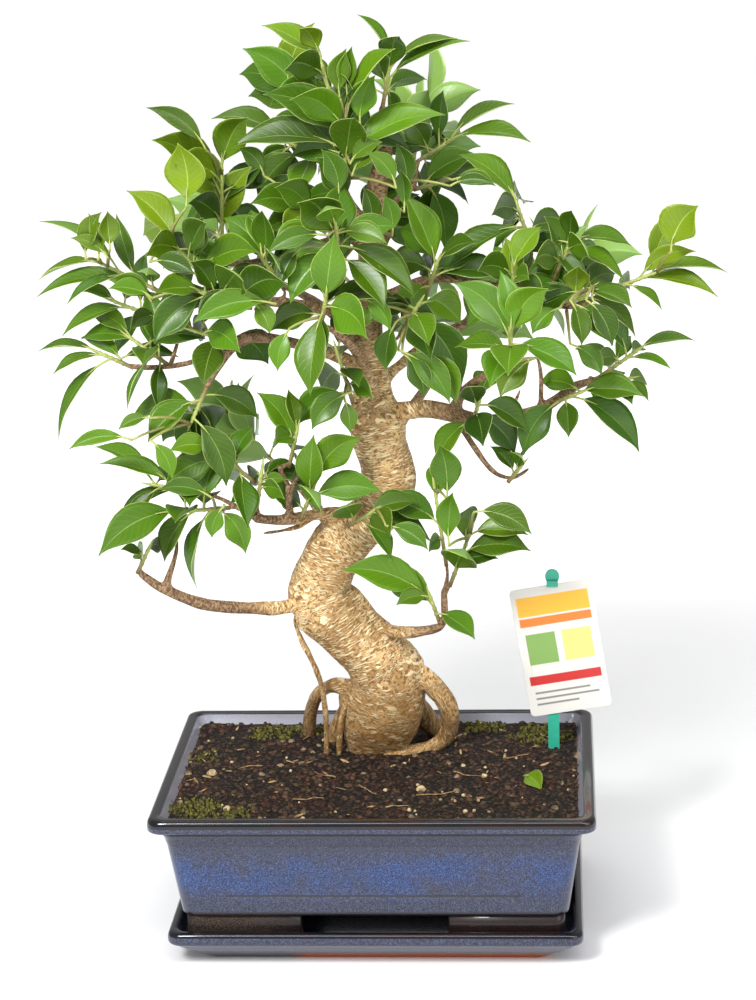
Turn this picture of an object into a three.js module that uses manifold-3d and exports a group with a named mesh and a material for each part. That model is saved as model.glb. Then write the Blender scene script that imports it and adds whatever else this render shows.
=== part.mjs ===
// Chinese banyan bonsai in a blue glazed pot on its saucer. Millimetres, +Z up.
// The origin is the middle of the saucer's flat underside. The tree's front faces -Y.
import * as THREE from 'three';
import Module from 'manifold-3d';

const wasm = await Module();
wasm.setup();

// Clearances between pieces that touch, in millimetres.
const gap = 0.3;
const socketRoom = 0.5;
// How far a cutter runs past the face that it cuts.
const past = 2;

// Saucer: a shallow rectangular dish with a thick rim band.
const saucer = {
  foot: [238, 165],
  rim: [282, 207],
  height: 26,
  bandHeight: 9,
  floorTop: 13,
  wall: 7,
  corner: 9,
  underBand: 5,
  bevel: 1.5,
  coving: [5, 4],
};

// Pot: outer rim, tapering body, skirt with feet, and the hollow for the soil.
const pot = {
  rim: [300, 225],
  underRim: [288, 212],
  flareStart: [277.5, 201.5],
  bodyFoot: [263, 187],
  skirt: [257, 181],
  rimTop: 111,
  rimBand: 10,
  flareZ: 87,
  bodyFootZ: 36,
  floorTop: 44,
  floorUnder: 35,
  rimWidth: 9,
  wall: 8,
  corner: 10,
  innerCorner: 7,
  panelDepth: 1.2,
  panelZ: [50, 87],
  frontPanel: [203, 214],
  sidePanel: [126, 136],
  frontArch: 100,
  sideArch: 66,
  archTop: 33,
  bevel: 2,
  skirtDraft: 1.5,
  skirtWall: [9, 11],
  flareMiddle: [0.4, 8],
};
const drain = { x: 62, radius: 10, screen: 27, screenThickness: 0.9, hole: 7, pitch: 11 };

// Soil, a few millimetres under the rim, mounded a little towards the trunk.
const soil = { top: 103.5, mound: 2.5, bump: 0.9, rings: [0.8, 0.45], room: 0.4, seed: 11 };

// Plant label: a card held on a flat plastic stake by a lip at its top edge.
const label = {
  card: [58, 95, 0.8],
  centre: [127.3, 43.6, 180],
  turn: 9,
  stake: [8, 2],
  stakeX: 121.8,
  stakeFoot: 62,
  lip: 3,
  lipThickness: 1.2,
  aboveCard: 1.2,
  knobRadius: 5,
  knobThickness: 3,
  knobSides: 14,
};

// The trunk as seen in the photograph: [x, y, z, radius] from under the soil to the top.
// It leans right at the foot, swings left to a bump, doubles back and then rises straight.
const trunk = {
  sides: 10,
  flute: 0.06,
  footStations: 6,
  stations: [
    [-10, 50, 84, 14], [-10, 49, 102, 16], [-8, 48, 110, 21], [-5, 46, 121, 26.5], [0, 43, 134, 30],
    [4, 40, 149, 29.5],
    [5, 36, 166, 26.5], [-7, 34, 183, 23], [-22, 33, 199, 22], [-37, 32, 215, 25], [-43, 32, 229, 23],
    [-35, 31, 246, 20], [-28, 30, 260, 20], [-15, 30, 272, 18], [0, 30, 283, 17], [9, 30, 296, 18],
    [11, 29, 309, 18.5], [7, 29, 324, 18], [4, 29, 337, 18.5], [2, 28, 351, 19], [0, 28, 367, 13],
    [-1, 28, 385, 11], [-2, 28, 404, 9.5], [-1, 28, 428, 9], [1, 28, 456, 8], [3, 27, 480, 7.3],
    [5, 27, 500, 6.6], [8, 26, 517, 6], [13, 26, 534, 5], [14, 25, 551, 3.8], [12, 25, 567, 2.2],
  ],
};

// Roots, limbs and bare twigs: a route of points and a radius at each end.
const roots = {
  left_root: {
    route: [[-14, 42, 146], [-24, 42, 151], [-34, 47, 153], [-44, 54, 147], [-51, 62, 135],
      [-55, 69, 121], [-57, 75, 106], [-58, 78, 84]],
    radius: [5.5, 3.8],
  },
  right_root: {
    route: [[26, 36, 164], [36, 33, 157], [44, 32, 148], [49, 34, 137], [49, 40, 123], [43, 46, 110],
      [31, 41, 105], [16, 35, 104.5], [4, 30, 104], [-3, 28, 98]],
    radius: [8.5, 3.4],
  },
  front_root: {
    route: [[-18, 32, 150], [-25, 28, 143], [-29, 27, 134], [-31, 29, 120], [-32, 31, 84]],
    radius: [2.4, 1.6],
  },
  aerial_root: {
    route: [[-54, 31, 214], [-60, 30, 206], [-56, 30, 193], [-47, 31, 174], [-42, 32, 157],
      [-40, 32, 140], [-40, 32, 122], [-41, 33, 84]],
    radius: [2.2, 1.6],
  },
  back_left_root: {
    route: [[-10, 50, 140], [-27, 56, 127], [-36, 62, 112], [-42, 68, 84]],
    radius: [10, 5],
  },
  back_right_root: {
    route: [[14, 54, 140], [29, 66, 120], [40, 75, 106], [48, 82, 84]],
    radius: [10, 5],
  },
};

const limbs = {
  low_left: {
    route: [[-34, 30, 224], [-66, 16, 220], [-88, 5, 223], [-117, -8, 229], [-133, -15, 238],
      [-148, -20, 247], [-159, -22, 257]],
    radius: [5.4, 2.4],
  },
  low_left_spur: {
    route: [[-144, -19, 245], [-136, -16, 265], [-134, -12, 274], [-135, -10, 284]],
    radius: [2, 1.2],
    bare: true,
  },
  low_right: {
    route: [[0, 30, 198], [20, 12, 202], [33, 8, 205], [44, 4, 208], [48, 2, 216], [47, 2, 236]],
    radius: [4.6, 1.9],
  },
  left_middle: {
    route: [[-8, 29, 282], [-26, 20, 286], [-44, 10, 289], [-57, 2, 287], [-80, -10, 291]],
    radius: [5.4, 3],
  },
  left_middle_under: {
    route: [[-40, 12, 288], [-52, 8, 280], [-66, 2, 279], [-76, -2, 279]],
    radius: [2.2, 1.3],
    bare: true,
  },
  left_middle_spur: {
    route: [[-57, 2, 287], [-58, -1, 300], [-57, -3, 314], [-64, -5, 328]],
    radius: [3, 1.3],
  },
  left_middle_fork: {
    route: [[-57, -2, 308], [-50, -5, 320], [-47, -7, 331]],
    radius: [1.7, 1.1],
    bare: true,
  },
  right_main: {
    route: [[0, 28, 352], [22, 30, 357], [40, 25, 360], [57, 22, 355], [74, 22, 350], [92, 24, 351],
      [115, 30, 356], [129, 34, 364], [139, 36, 372], [153, 38, 375]],
    radius: [7.5, 2.4],
  },
  right_hanger: {
    route: [[57, 22, 355], [67, 16, 339], [77, 12, 324], [85, 12, 315], [94, 14, 312], [101, 16, 314],
      [107, 18, 318]],
    radius: [2.6, 1.2],
  },
  right_spur: {
    route: [[92, 24, 351], [97, 22, 362], [102, 18, 374]],
    radius: [2, 1.1],
    bare: true,
  },
  right_riser: {
    route: [[115, 30, 356], [116, 26, 376], [115, 22, 392], [108, 18, 408]],
    radius: [2.2, 1.2],
  },
  left_upper: {
    route: [[0, 27, 366], [-14, 16, 397], [-46, 4, 410], [-81, -6, 420], [-96, -10, 406],
      [-106, -12, 390], [-110, -13, 382]],
    radius: [4.6, 1.6],
  },
  left_arm: {
    route: [[-90, -8, 412], [-104, 0, 404], [-124, 4, 397], [-148, 6, 394], [-162, 8, 395]],
    radius: [2.4, 1.6],
  },
  left_high: {
    route: [[-1, 28, 414], [-16, 20, 428], [-46, 10, 436], [-79, 4, 441], [-113, 2, 443], [-139, 1, 446]],
    radius: [4.2, 1.7],
  },
  left_back_high: {
    route: [[2, 28, 468], [-16, 36, 479], [-49, 46, 466], [-85, 44, 458], [-101, 39, 460]],
    radius: [3.4, 1.6],
  },
  right_high: {
    route: [[-1, 28, 430], [20, 36, 440], [48, 38, 450], [75, 36, 443], [99, 32, 440], [134, 26, 427],
      [150, 25, 433]],
    radius: [4.2, 1.7],
  },
  right_top: {
    route: [[5, 27, 490], [20, 46, 502], [30, 60, 507], [32, 68, 518]],
    radius: [3, 1.6],
  },
  top_left: {
    route: [[4, 27, 483], [-10, 24, 501], [-17, 22, 518], [-20, 20, 540]],
    radius: [3, 1.8],
  },
  front_middle: {
    route: [[0, 26, 358], [2, 2, 382], [-6, -18, 410], [-20, -30, 426]],
    radius: [4.2, 1.8],
  },
  front_right: {
    route: [[56, 22, 356], [62, -4, 378], [80, -36, 396], [96, -58, 408]],
    radius: [3.2, 1.8],
  },
  back_low: {
    route: [[6, 30, 330], [20, 60, 346], [36, 90, 362], [46, 120, 378]],
    radius: [4.4, 1.9],
  },
  back_left: {
    route: [[-2, 28, 396], [-24, 58, 418], [-52, 84, 430], [-80, 106, 438]],
    radius: [4, 1.9],
  },
  back_high: {
    route: [[1, 28, 452], [9, 52, 472], [20, 80, 488]],
    radius: [3.4, 1.8],
  },
  back_right: {
    route: [[0, 28, 374], [30, 56, 394], [62, 82, 408], [94, 100, 416]],
    radius: [4, 1.9],
  },
  back_low_left: {
    route: [[-27, 32, 266], [-46, 62, 284], [-72, 90, 302]],
    radius: [3.8, 1.9],
  },
};

// Twigs from the limbs to each leafy shoot are found by rule: the nearest limb carries it.
const twig = {
  sides: 3,
  radius: 1.7,
  thickening: 0.014,
  end: 1.3,
  risePenalty: 0.6,
  collar: 3.5,
  knee: 14,
  lastShare: 0.85,
  short: 12,
  steps: 8,
  fromHeight: 250,
};

// Green stem of a shoot, which ends in a pointed bud.
const stem = { sides: 3, radius: [1.4, 0.9], bud: 9 };

// Leaf proportions. The stalk starts at a point sunk in the stem and is full thickness at its neck.
// Stations are shares of the leaf's length, each with its share of the blade's half width.
const blade = {
  sunk: 0.35,
  neck: 2.6,
  stalkRadius: 0.6,
  stations: [[0.3, 0.62], [0.56, 1], [0.81, 0.6]],
  thickness: 1.2,
  arch: 0.14,
  width: 0.58,
  slimming: 0.0045,
  slimFrom: 40,
  slimmest: 0.4,
  seen: 0.5,
  room: 0.7,
  free: 0.03,
};

// A leaf that would cross a neighbour is bent clear: these turns of lean and heading are tried
// in order, first at full length and then shorter.
const bends = {
  lean: [0, 12, -12, 24, -24, 38, -38, 52, -52],
  heading: [0, 10, -10, 20, -20],
  shorter: [1, 0.78],
};

// Leafy shoots, read by eye from the photograph, from the shoot's foot to its tip. A leaf is
// [heading, lean, length, width]: heading in degrees as seen from the front (0 right, 90 up), lean
// in degrees towards the front, length with its stalk, and how wide it looks as a share of that.
const byRule = null;
const shoots = {
  top_left: {
    from: [-18, 18, 559], to: [-29, 20, 605],
    leaves: [
      [50, 60, 49, 0.4], byRule, [125, -30, 34, 0.2], [160, 60, 45, 0.66], [145, 0, 48, 0.28],
      [120, 45, 30, 0.68],
    ],
  },
  top_left_back: {
    from: [-31, 52, 553], to: [-55, 60, 573],
    leaves: [
      byRule, [170, -35, 56], [135, 0, 56, 0.55], [160, -35, 56], byRule,
    ],
  },
  top_right: {
    from: [13, 34, 570], to: [18, 36, 595],
    leaves: [
      [10, -55, 48, 0.4], [105, 60, 51], [25, 0, 62, 0.2], [70, 55, 52, 0.64],
      [15, 0, 51, 0.14], [120, 25, 41, 0.14],
    ],
  },
  top_front: {
    from: [-12, 4, 522], to: [-10, -6, 563],
    leaves: [
      [75, 50, 64], [25, 0, 74, 0.28], [175, 0, 76, 0.24], [145, 0, 67, 0.4], [140, 60, 59],
      [55, 0, 67, 0.14],
    ],
  },
  crown_left: {
    from: [-30, 40, 529], to: [-71, 44, 551],
    leaves: [
      [-115, 55, 44], byRule, [-135, -30, 38, 0.6], [160, 0, 54, 0.24], [145, -45, 31, 0.7],
      [45, -50, 45],
    ],
  },
  left_sprig: {
    from: [-101, 38, 461], to: [-98, 34, 528],
    leaves: [
      [25, 45, 50], [65, 0, 55], [130, 55, 46], [130, 0, 55, 0.68], [130, 0, 76, 0.32],
      [165, 0, 52, 0.45], [60, 0, 47, 0.66],
    ],
  },
  left_yellow: {
    from: [-109, 4, 456], to: [-132, -2, 485],
    leaves: [
      [25, 35, 57, 0.4], [75, 30, 42, 0.55], byRule, [160, 70, 50], [130, -5, 51, 0.42],
      [-170, -60, 56],
    ],
  },
  far_left_top: {
    from: [-139, 0, 448], to: [-180, 0, 469],
    leaves: [
      [80, 60, 52, 0.6], [-175, 0, 76, 0.2], [105, -5, 47, 0.55], [-160, 0, 50, 0.2],
      [145, 0, 64, 0.12], [90, 20, 43, 0.4], [-165, -10, 48, 0.12],
    ],
  },
  far_left_low: {
    from: [-139, 16, 425], to: [-175, 18, 439],
    leaves: [
      [-175, 70, 41], byRule, [80, 70, 46], [-160, 0, 54, 0.25], [-140, -50, 50],
      [150, 40, 29, 0.4],
    ],
  },
  left_shelf: {
    from: [-83, -22, 442], to: [-108, -30, 453],
    leaves: [
      [25, 40, 56, 0.6], [-170, 0, 54, 0.4], [45, 60, 57, 0.6], [115, 35, 37],
      [-140, 15, 49, 0.6], [170, 30, 38, 0.4],
    ],
  },
  left_arm_end: {
    from: [-165, 8, 396], to: [-185, 6, 406],
    leaves: [
      [160, -40, 47, 0.4], [-10, -65, 43, 0.4], [-125, 0, 71, 0.2], [-165, 20, 39, 0.25],
      [180, -10, 46, 0.14],
    ],
  },
  left_arm_mid: {
    from: [-139, 6, 398], to: [-163, 10, 415],
    leaves: [
      [-90, -20, 37], [-120, 0, 46, 0.12], [10, 75, 43, 0.7], [30, 40, 47],
      [-170, -45, 46, 0.4], [155, -65, 42],
    ],
  },
  left_arm_near: {
    from: [-91, -10, 415], to: [-116, -18, 425],
    leaves: [
      [-45, -45, 49, 0.66], [-105, 50, 42, 0.65], [-155, -25, 41, 0.55], [-10, 55, 49],
      [180, -45, 32],
    ],
  },
  low_left_top: {
    from: [-110, -14, 382], to: [-119, -16, 363],
    leaves: [
      [-30, -20, 44], [-145, 10, 47, 0.45], [-160, 0, 65, 0.2], [-80, -60, 53, 0.6],
      [-145, -55, 56, 0.6], byRule,
    ],
  },
  low_left_high: {
    from: [-82, -10, 320], to: [-107, -16, 343],
    leaves: [
      [-140, -60, 55], [-75, 80, 46, 0.4], [60, -35, 33], [-160, 20, 46, 0.6], [150, -40, 34],
      [170, 35, 34],
    ],
  },
  low_left_tip: {
    from: [-120, -10, 311], to: [-149, -12, 317],
    leaves: [
      [20, 70, 48, 0.7], [-155, 0, 54, 0.2], [160, 0, 56, 0.2], [85, 25, 40],
      [-130, -25, 40, 0.4], [160, 0, 67, 0.16],
    ],
  },
  low_left_hang: {
    from: [-100, -16, 301], to: [-130, -20, 300],
    leaves: [
      [-60, -25, 36, 0.64], [-105, 0, 59, 0.2], [130, -75, 41, 0.6], [-125, 0, 45, 0.4],
      [135, 70, 43, 0.64], [-160, 0, 70, 0.42],
    ],
  },
  low_left_end: {
    from: [-159, -23, 261], to: [-152, -24, 275],
    leaves: [
      [150, -70, 25, 0.66], [150, 30, 20, 0.2], [-30, -80, 25],
    ],
  },
  mid_left_up: {
    from: [-77, -13, 306], to: [-73, -16, 329],
    leaves: [
      [-180, 65, 28], [-5, 50, 30, 0.6], [0, -55, 18], [-130, -45, 34], [90, -35, 21, 0.2],
    ],
  },
  mid_left_front: {
    from: [-48, -4, 292], to: [-37, -10, 319],
    leaves: [
      [-180, -30, 35], [35, 70, 46, 0.7], [5, 0, 51], [85, 10, 44, 0.55], [130, -10, 42, 0.2],
      [45, 40, 49, 0.6],
    ],
  },
  mid_left_hook: {
    from: [-55, -4, 330], to: [-49, -8, 353],
    leaves: [
      [-60, -65, 37], [120, 0, 46, 0.45], [150, 70, 35, 0.2], [90, -60, 32, 0.4],
    ],
  },
  center_low: {
    from: [-12, -4, 374], to: [-20, -14, 409],
    leaves: [
      [-145, -15, 47, 0.6], [-15, 50, 30, 0.6], [-135, -55, 55], [-25, 40, 33, 0.2],
      [-180, -55, 52], [70, -60, 45],
    ],
  },
  center_hub: {
    from: [-27, -34, 435], to: [-23, -48, 452],
    leaves: [
      [-160, -25, 44, 0.55], [-95, 30, 37], [-100, 0, 59, 0.45], [-25, 50, 51, 0.66],
      [0, -10, 50, 0.25], [80, 15, 49, 0.6], [145, -30, 39],
    ],
  },
  center_long: {
    from: [-15, -30, 472], to: [-15, -50, 499],
    leaves: [
      [-45, 50, 50, 0.4], [-135, 40, 47], [-35, 0, 61, 0.28], [125, 50, 53, 0.7],
      [-10, -40, 35, 0.45], [105, 30, 40, 0.6],
    ],
  },
  left_inner: {
    from: [-57, 0, 451], to: [-68, -14, 472],
    leaves: [
      [5, 60, 52, 0.6], [-160, 60, 46, 0.65], [-150, -10, 50], [40, 65, 53], [135, 30, 50],
      [90, 25, 41], [155, -40, 33, 0.4],
    ],
  },
  upper_inner: {
    from: [-27, 10, 490], to: [-43, 0, 505],
    leaves: [
      [-65, -25, 37], [-170, 20, 39], [130, 50, 47], [30, 70, 47, 0.6], [165, 40, 44],
      [45, 30, 36, 0.6],
    ],
  },
  upper_core: {
    from: [-7, 50, 473], to: [6, 58, 483],
    leaves: [
      [-150, -65, 46], [100, 65, 24, 0.6], [-25, -45, 28, 0.4], [80, 20, 40, 0.55],
      [35, -15, 39, 0.4], [-15, -60, 43],
    ],
  },
  right_hub: {
    from: [40, 30, 441], to: [47, 22, 461],
    leaves: [
      [-140, 60, 46], [-30, -55, 51], [0, 0, 52, 0.32], [-175, -55, 51], [110, 0, 57, 0.4],
      [35, 30, 38, 0.25],
    ],
  },
  right_arches: {
    from: [34, 70, 524], to: [56, 82, 536],
    leaves: [
      [-85, -60, 53], [120, 60, 52, 0.6], [0, -15, 46, 0.2], [85, 20, 43], [5, 0, 66, 0.16],
      [20, 0, 52, 0.2],
    ],
  },
  right_wing: {
    from: [34, 60, 506], to: [49, 66, 509],
    leaves: [
      [30, -55, 44], [-30, -55, 47, 0.2], [5, 0, 50, 0.24], [135, 50, 47, 0.6],
      [55, 65, 48, 0.4],
    ],
  },
  right_twig: {
    from: [108, 40, 474], to: [100, 42, 499],
    leaves: [
      [-5, -50, 44], [-155, 0, 58, 0.24], [-130, -55, 26, 0.2], [160, 65, 44],
      [135, 0, 56, 0.28], [-45, -55, 46, 0.4],
    ],
  },
  right_upper: {
    from: [129, 24, 456], to: [138, 22, 475],
    leaves: [
      [155, 65, 45], [110, 30, 36, 0.4], [-30, -50, 46], [15, 70, 44, 0.6], [-30, 0, 44, 0.2],
      [90, 30, 34], [-5, -10, 42, 0.25],
    ],
  },
  right_yellow: {
    from: [99, 10, 437], to: [98, 0, 459],
    leaves: [
      [-145, -55, 45], [0, 60, 42], [100, -20, 34, 0.64], [35, 30, 32, 0.25], [155, 55, 42],
      [55, -70, 40],
    ],
  },
  right_drop: {
    from: [136, 20, 433], to: [149, 14, 443],
    leaves: [
      [-125, -30, 33], [85, 30, 32, 0.7], [-35, 0, 49, 0.16], [20, -50, 41],
      [-10, 40, 41, 0.25], [170, -60, 41],
    ],
  },
  right_sprig: {
    from: [164, 26, 440], to: [194, 22, 452],
    leaves: [
      [135, -70, 44], [-30, 30, 33, 0.2], [-10, 0, 60, 0.2], [30, 25, 47, 0.55],
      [0, 0, 57, 0.14], [60, 0, 49, 0.68],
    ],
  },
  right_front: {
    from: [98, -66, 415], to: [97, -82, 432],
    leaves: [
      [180, -30, 44, 0.25], [-135, 70, 54, 0.4], [-100, 45, 52, 0.6], [-25, 20, 47, 0.4],
      [135, -15, 53, 0.55], [55, 25, 48, 0.6], [-35, -60, 60],
    ],
  },
  right_end: {
    from: [160, 38, 380], to: [182, 36, 396],
    leaves: [
      [140, 40, 40, 0.6], [50, -55, 35, 0.6], [165, 50, 39], [-10, 15, 33, 0.16],
      [-10, -30, 30, 0.25], [10, 0, 41, 0.2],
    ],
  },
  right_end_low: {
    from: [157, 35, 372], to: [175, 31, 377],
    leaves: [
      [-115, -55, 39], [-30, 60, 33, 0.4], [100, -75, 34], [-30, 30, 26, 0.2],
      [-30, -25, 30, 0.25],
    ],
  },
  right_drop_low: {
    from: [126, 24, 363], to: [144, 16, 372],
    leaves: [
      [-125, -10, 45, 0.6], [-85, 40, 30, 0.65], [-40, 0, 62, 0.32], [-10, -40, 47, 0.4],
      [-175, -60, 46],
    ],
  },
  right_under: {
    from: [69, 0, 354], to: [75, -10, 373],
    leaves: [
      [-130, -20, 41, 0.42], [-50, -50, 48], [-70, 70, 40, 0.66], [105, 20, 39, 0.6],
      [-35, -25, 46, 0.4], [55, -65, 40],
    ],
  },
  right_hanger: {
    from: [95, 12, 313], to: [102, 10, 322],
    leaves: [
      [130, 0, 26, 0.4], [85, 55, 29], [80, -25, 19, 0.2],
    ],
  },
  center_right: {
    from: [24, -10, 421], to: [37, -26, 443],
    leaves: [
      [-135, -20, 46, 0.25], [-45, 60, 49], [-60, 0, 72, 0.42], [-50, 25, 41], [-165, -45, 33],
      [-40, -50, 54],
    ],
  },
  low_right_up: {
    from: [49, 4, 257], to: [42, 8, 309],
    leaves: [
      [80, -20, 39, 0.45], [-160, 70, 25, 0.6], [155, -10, 46, 0.45], [130, 0, 70, 0.42],
      [85, -25, 36, 0.6], [170, -60, 47],
    ],
  },
  low_right_side: {
    from: [53, 0, 243], to: [67, -6, 280],
    leaves: [
      [65, 60, 49, 0.7], [15, 35, 31, 0.45], [10, 0, 53, 0.32], [85, -60, 39],
      [5, -10, 42, 0.32],
    ],
  },
  low_right_base: {
    from: [43, 2, 216], to: [38, -4, 234],
    leaves: [
      [-20, -10, 39, 0.32], [150, 0, 48, 0.6], [155, 0, 69, 0.4], [180, 35, 28, 0.45],
    ],
  },
  trunk_front: {
    from: [-15, 2, 284], to: [1, -14, 297],
    leaves: [
      [115, 65, 42, 0.66], [-50, 10, 37, 0.24], [-25, 0, 52, 0.2], [10, -55, 37, 0.4],
      [-25, 65, 38],
    ],
  },
};

// Sprays of the back of the crown, which the photograph doesn't show: their leaves follow a rule.
const sprays = {
  back_low_spray: { from: [47, 122, 379], to: [70, 166, 404], count: 11 },
  back_left_spray: { from: [-82, 108, 439], to: [-124, 144, 468], count: 12 },
  back_high_spray: { from: [22, 84, 490], to: [36, 118, 556], count: 12 },
  back_right_spray: { from: [96, 102, 417], to: [146, 132, 440], count: 12 },
  back_low_left_spray: { from: [-74, 92, 303], to: [-116, 124, 334], count: 11 },
};
const spiral = { turn: 137.5, spread: 58, length: [44, 58], droop: 0.12, seed: 2027 };

// A shed leaf that lies on the soil near the label, its tip towards the front.
const fallen = { base: [101, -12, 112], heading: 0, lean: 66, length: 30, seen: 0.5 };

const colours = {
  glaze: 0x35508a, bark: 0xb48f52, soil: 0x33261d, leaf: 0x4c8a24, freshLeaf: 0x8fb52c, card: 0xf4f1e8,
  stake: 0x1f9d7c, mesh: 0x2b2b2b,
};

// Small vector helpers.
const vec = (x, y, z) => new THREE.Vector3(x, y, z);
const up = vec(0, 0, 1);
const front = vec(0, -1, 0);
const radians = THREE.MathUtils.degToRad;

// Repeatable random numbers between 0 and 1.
function randomSource(seed) {
  let state = seed;
  return () => {
    state = (state * 16807) % 2147483647;
    return state / 2147483647;
  };
}

// Faces between two rings of points that run the same way round. A ring of one point is a tip.
function stitch(faces, low, high) {
  const count = Math.max(low.length, high.length);
  for (let index = 0; index < count; index += 1) {
    const next = (index + 1) % count;
    if (low.length > 1) faces.push([low[index], low[next], high[next % high.length]]);
    if (high.length > 1) faces.push([low[index % low.length], high[next], high[index]]);
  }
}

// Closed body from a row of rings, flat at both ends.
function loft(rings) {
  const points = rings.flat();
  let count = 0;
  const numbered = rings.map((ring) => ring.map(() => count++));
  const faces = [];
  for (let index = 1; index < rings.length; index += 1) {
    stitch(faces, numbered[index - 1], numbered[index]);
  }
  const [first, last] = [numbered[0], numbered.at(-1)];
  for (let index = 1; index < first.length - 1; index += 1) {
    faces.push([first[0], first[index + 1], first[index]]);
  }
  for (let index = 1; index < last.length - 1; index += 1) {
    faces.push([last[0], last[index], last[index + 1]]);
  }
  return new wasm.Manifold(new wasm.Mesh({
    numProp: 3,
    vertProperties: new Float32Array(points.flatMap((point) => point.toArray())),
    triVerts: new Uint32Array(faces.flat()),
  }));
}

// Rectangle with rounded corners, counter-clockwise seen from above.
function roundedRing([length, width], corner, z, perCorner = 3) {
  const ring = [];
  const signs = [[1, 1], [-1, 1], [-1, -1], [1, -1]];
  signs.forEach(([signX, signY], quarter) => {
    for (let step = 0; step < perCorner; step += 1) {
      const angle = (quarter + step / (perCorner - 1)) * Math.PI / 2;
      const x = signX * (length / 2 - corner) + corner * Math.cos(angle);
      const y = signY * (width / 2 - corner) + corner * Math.sin(angle);
      ring.push(vec(x, y, z));
    }
  });
  return ring;
}

const inset = ([length, width], by) => [length - 2 * by, width - 2 * by];
const between = (a, b, share) => a.map((value, index) => value + (b[index] - value) * share);

function box(low, high) {
  const corners = [[low[0], low[1]], [high[0], low[1]], [high[0], high[1]], [low[0], high[1]]];
  return loft([low[2], high[2]].map((z) => corners.map(([x, y]) => vec(x, y, z))));
}

// Upright round bar.
function roundBar(x, y, radius, low, high, sides = 16) {
  const ring = (z) => Array.from({ length: sides }, (_, index) => {
    const angle = 2 * Math.PI * index / sides;
    return vec(x + radius * Math.cos(angle), y + radius * Math.sin(angle), z);
  });
  return loft([ring(low), ring(high)]);
}

// Round tube along a row of points, with a radius for each; a radius of 0 makes a point.
// The last end is square to the way that is given, or else to the last stretch.
function tube(points, radii, sides, shape = () => 1, lastWay = null) {
  const tangents = points.map((point, index) => {
    const before = points[Math.max(index - 1, 0)];
    const after = points[Math.min(index + 1, points.length - 1)];
    if (lastWay && index === points.length - 1) return lastWay.clone();
    return after.clone().sub(before).normalize();
  });
  const guide = Math.abs(tangents[0].y) < 0.9 ? vec(0, 1, 0) : vec(1, 0, 0);
  let across = guide.clone().cross(tangents[0]).normalize();
  const rings = points.map((point, index) => {
    const along = tangents[index];
    across = across.sub(along.clone().multiplyScalar(across.dot(along))).normalize();
    const side = along.clone().cross(across);
    if (radii[index] === 0) return [point.clone()];
    return Array.from({ length: sides }, (_, step) => {
      const angle = 2 * Math.PI * step / sides;
      const radius = radii[index] * shape(angle, index);
      return point.clone()
        .addScaledVector(across, radius * Math.cos(angle))
        .addScaledVector(side, radius * Math.sin(angle));
    });
  });
  return loft(rings);
}

// Radius at each point of a route, from its start to its end.
function taper(route, [start, end]) {
  return route.map((_, index) => start + (end - start) * index / (route.length - 1));
}

function makeSaucer() {
  const bandLow = saucer.height - saucer.bandHeight;
  const outer = loft([
    roundedRing(saucer.foot, saucer.corner, 0),
    roundedRing(inset(saucer.rim, saucer.underBand), saucer.corner, bandLow - 2 * saucer.bevel),
    roundedRing(inset(saucer.rim, saucer.bevel), saucer.corner, bandLow),
    roundedRing(saucer.rim, saucer.corner, bandLow + saucer.bevel),
    roundedRing(saucer.rim, saucer.corner, saucer.height - saucer.bevel),
    roundedRing(inset(saucer.rim, saucer.bevel), saucer.corner, saucer.height),
  ]);
  const [inward, down] = saucer.coving;
  const hollow = loft([
    roundedRing(inset(saucer.rim, saucer.wall + inward), saucer.corner, saucer.floorTop),
    roundedRing(inset(saucer.rim, saucer.wall), saucer.corner, saucer.height - down),
    roundedRing(inset(saucer.rim, saucer.wall), saucer.corner, saucer.height + past),
  ]);
  return outer.subtract(hollow);
}

// Outer size of the pot's tapering body at a height.
function bodySize(z) {
  return between(pot.bodyFoot, pot.flareStart, (z - pot.bodyFootZ) / (pot.flareZ - pot.bodyFootZ));
}

// Size of the pot's hollow at a height.
function hollowSize(z) {
  const rimLow = pot.rimTop - pot.rimBand;
  if (z < rimLow) {
    const share = (z - pot.floorTop) / (rimLow - pot.floorTop);
    return inset(between(bodySize(pot.floorTop), pot.underRim, share), pot.wall);
  }
  return between(inset(pot.underRim, pot.wall), inset(pot.rim, pot.rimWidth), (z - rimLow) / pot.rimBand);
}

// Sunk panel on one wall: a slab that cuts into the sloping body. face is 0 for front and back.
function panelCutter(face, sign) {
  const [low, high] = pot.panelZ;
  const lengths = face === 0 ? pot.frontPanel : pot.sidePanel;
  const wallAt = (z) => bodySize(z)[1 - face] / 2;
  const ring = (z, length) => {
    const outer = wallAt(z) + past;
    const inner = wallAt(z) - pot.panelDepth;
    const corners = [[-length / 2, inner], [length / 2, inner], [length / 2, outer], [-length / 2, outer]];
    const ringPoints = corners.map(([along, out]) => {
      return face === 0 ? vec(along, out * sign, z) : vec(out * sign, along, z);
    });
    const turned = (face === 0) === (sign < 0);
    return turned ? ringPoints.reverse() : ringPoints;
  };
  return loft([ring(low, lengths[0]), ring(high, lengths[1])]);
}

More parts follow.
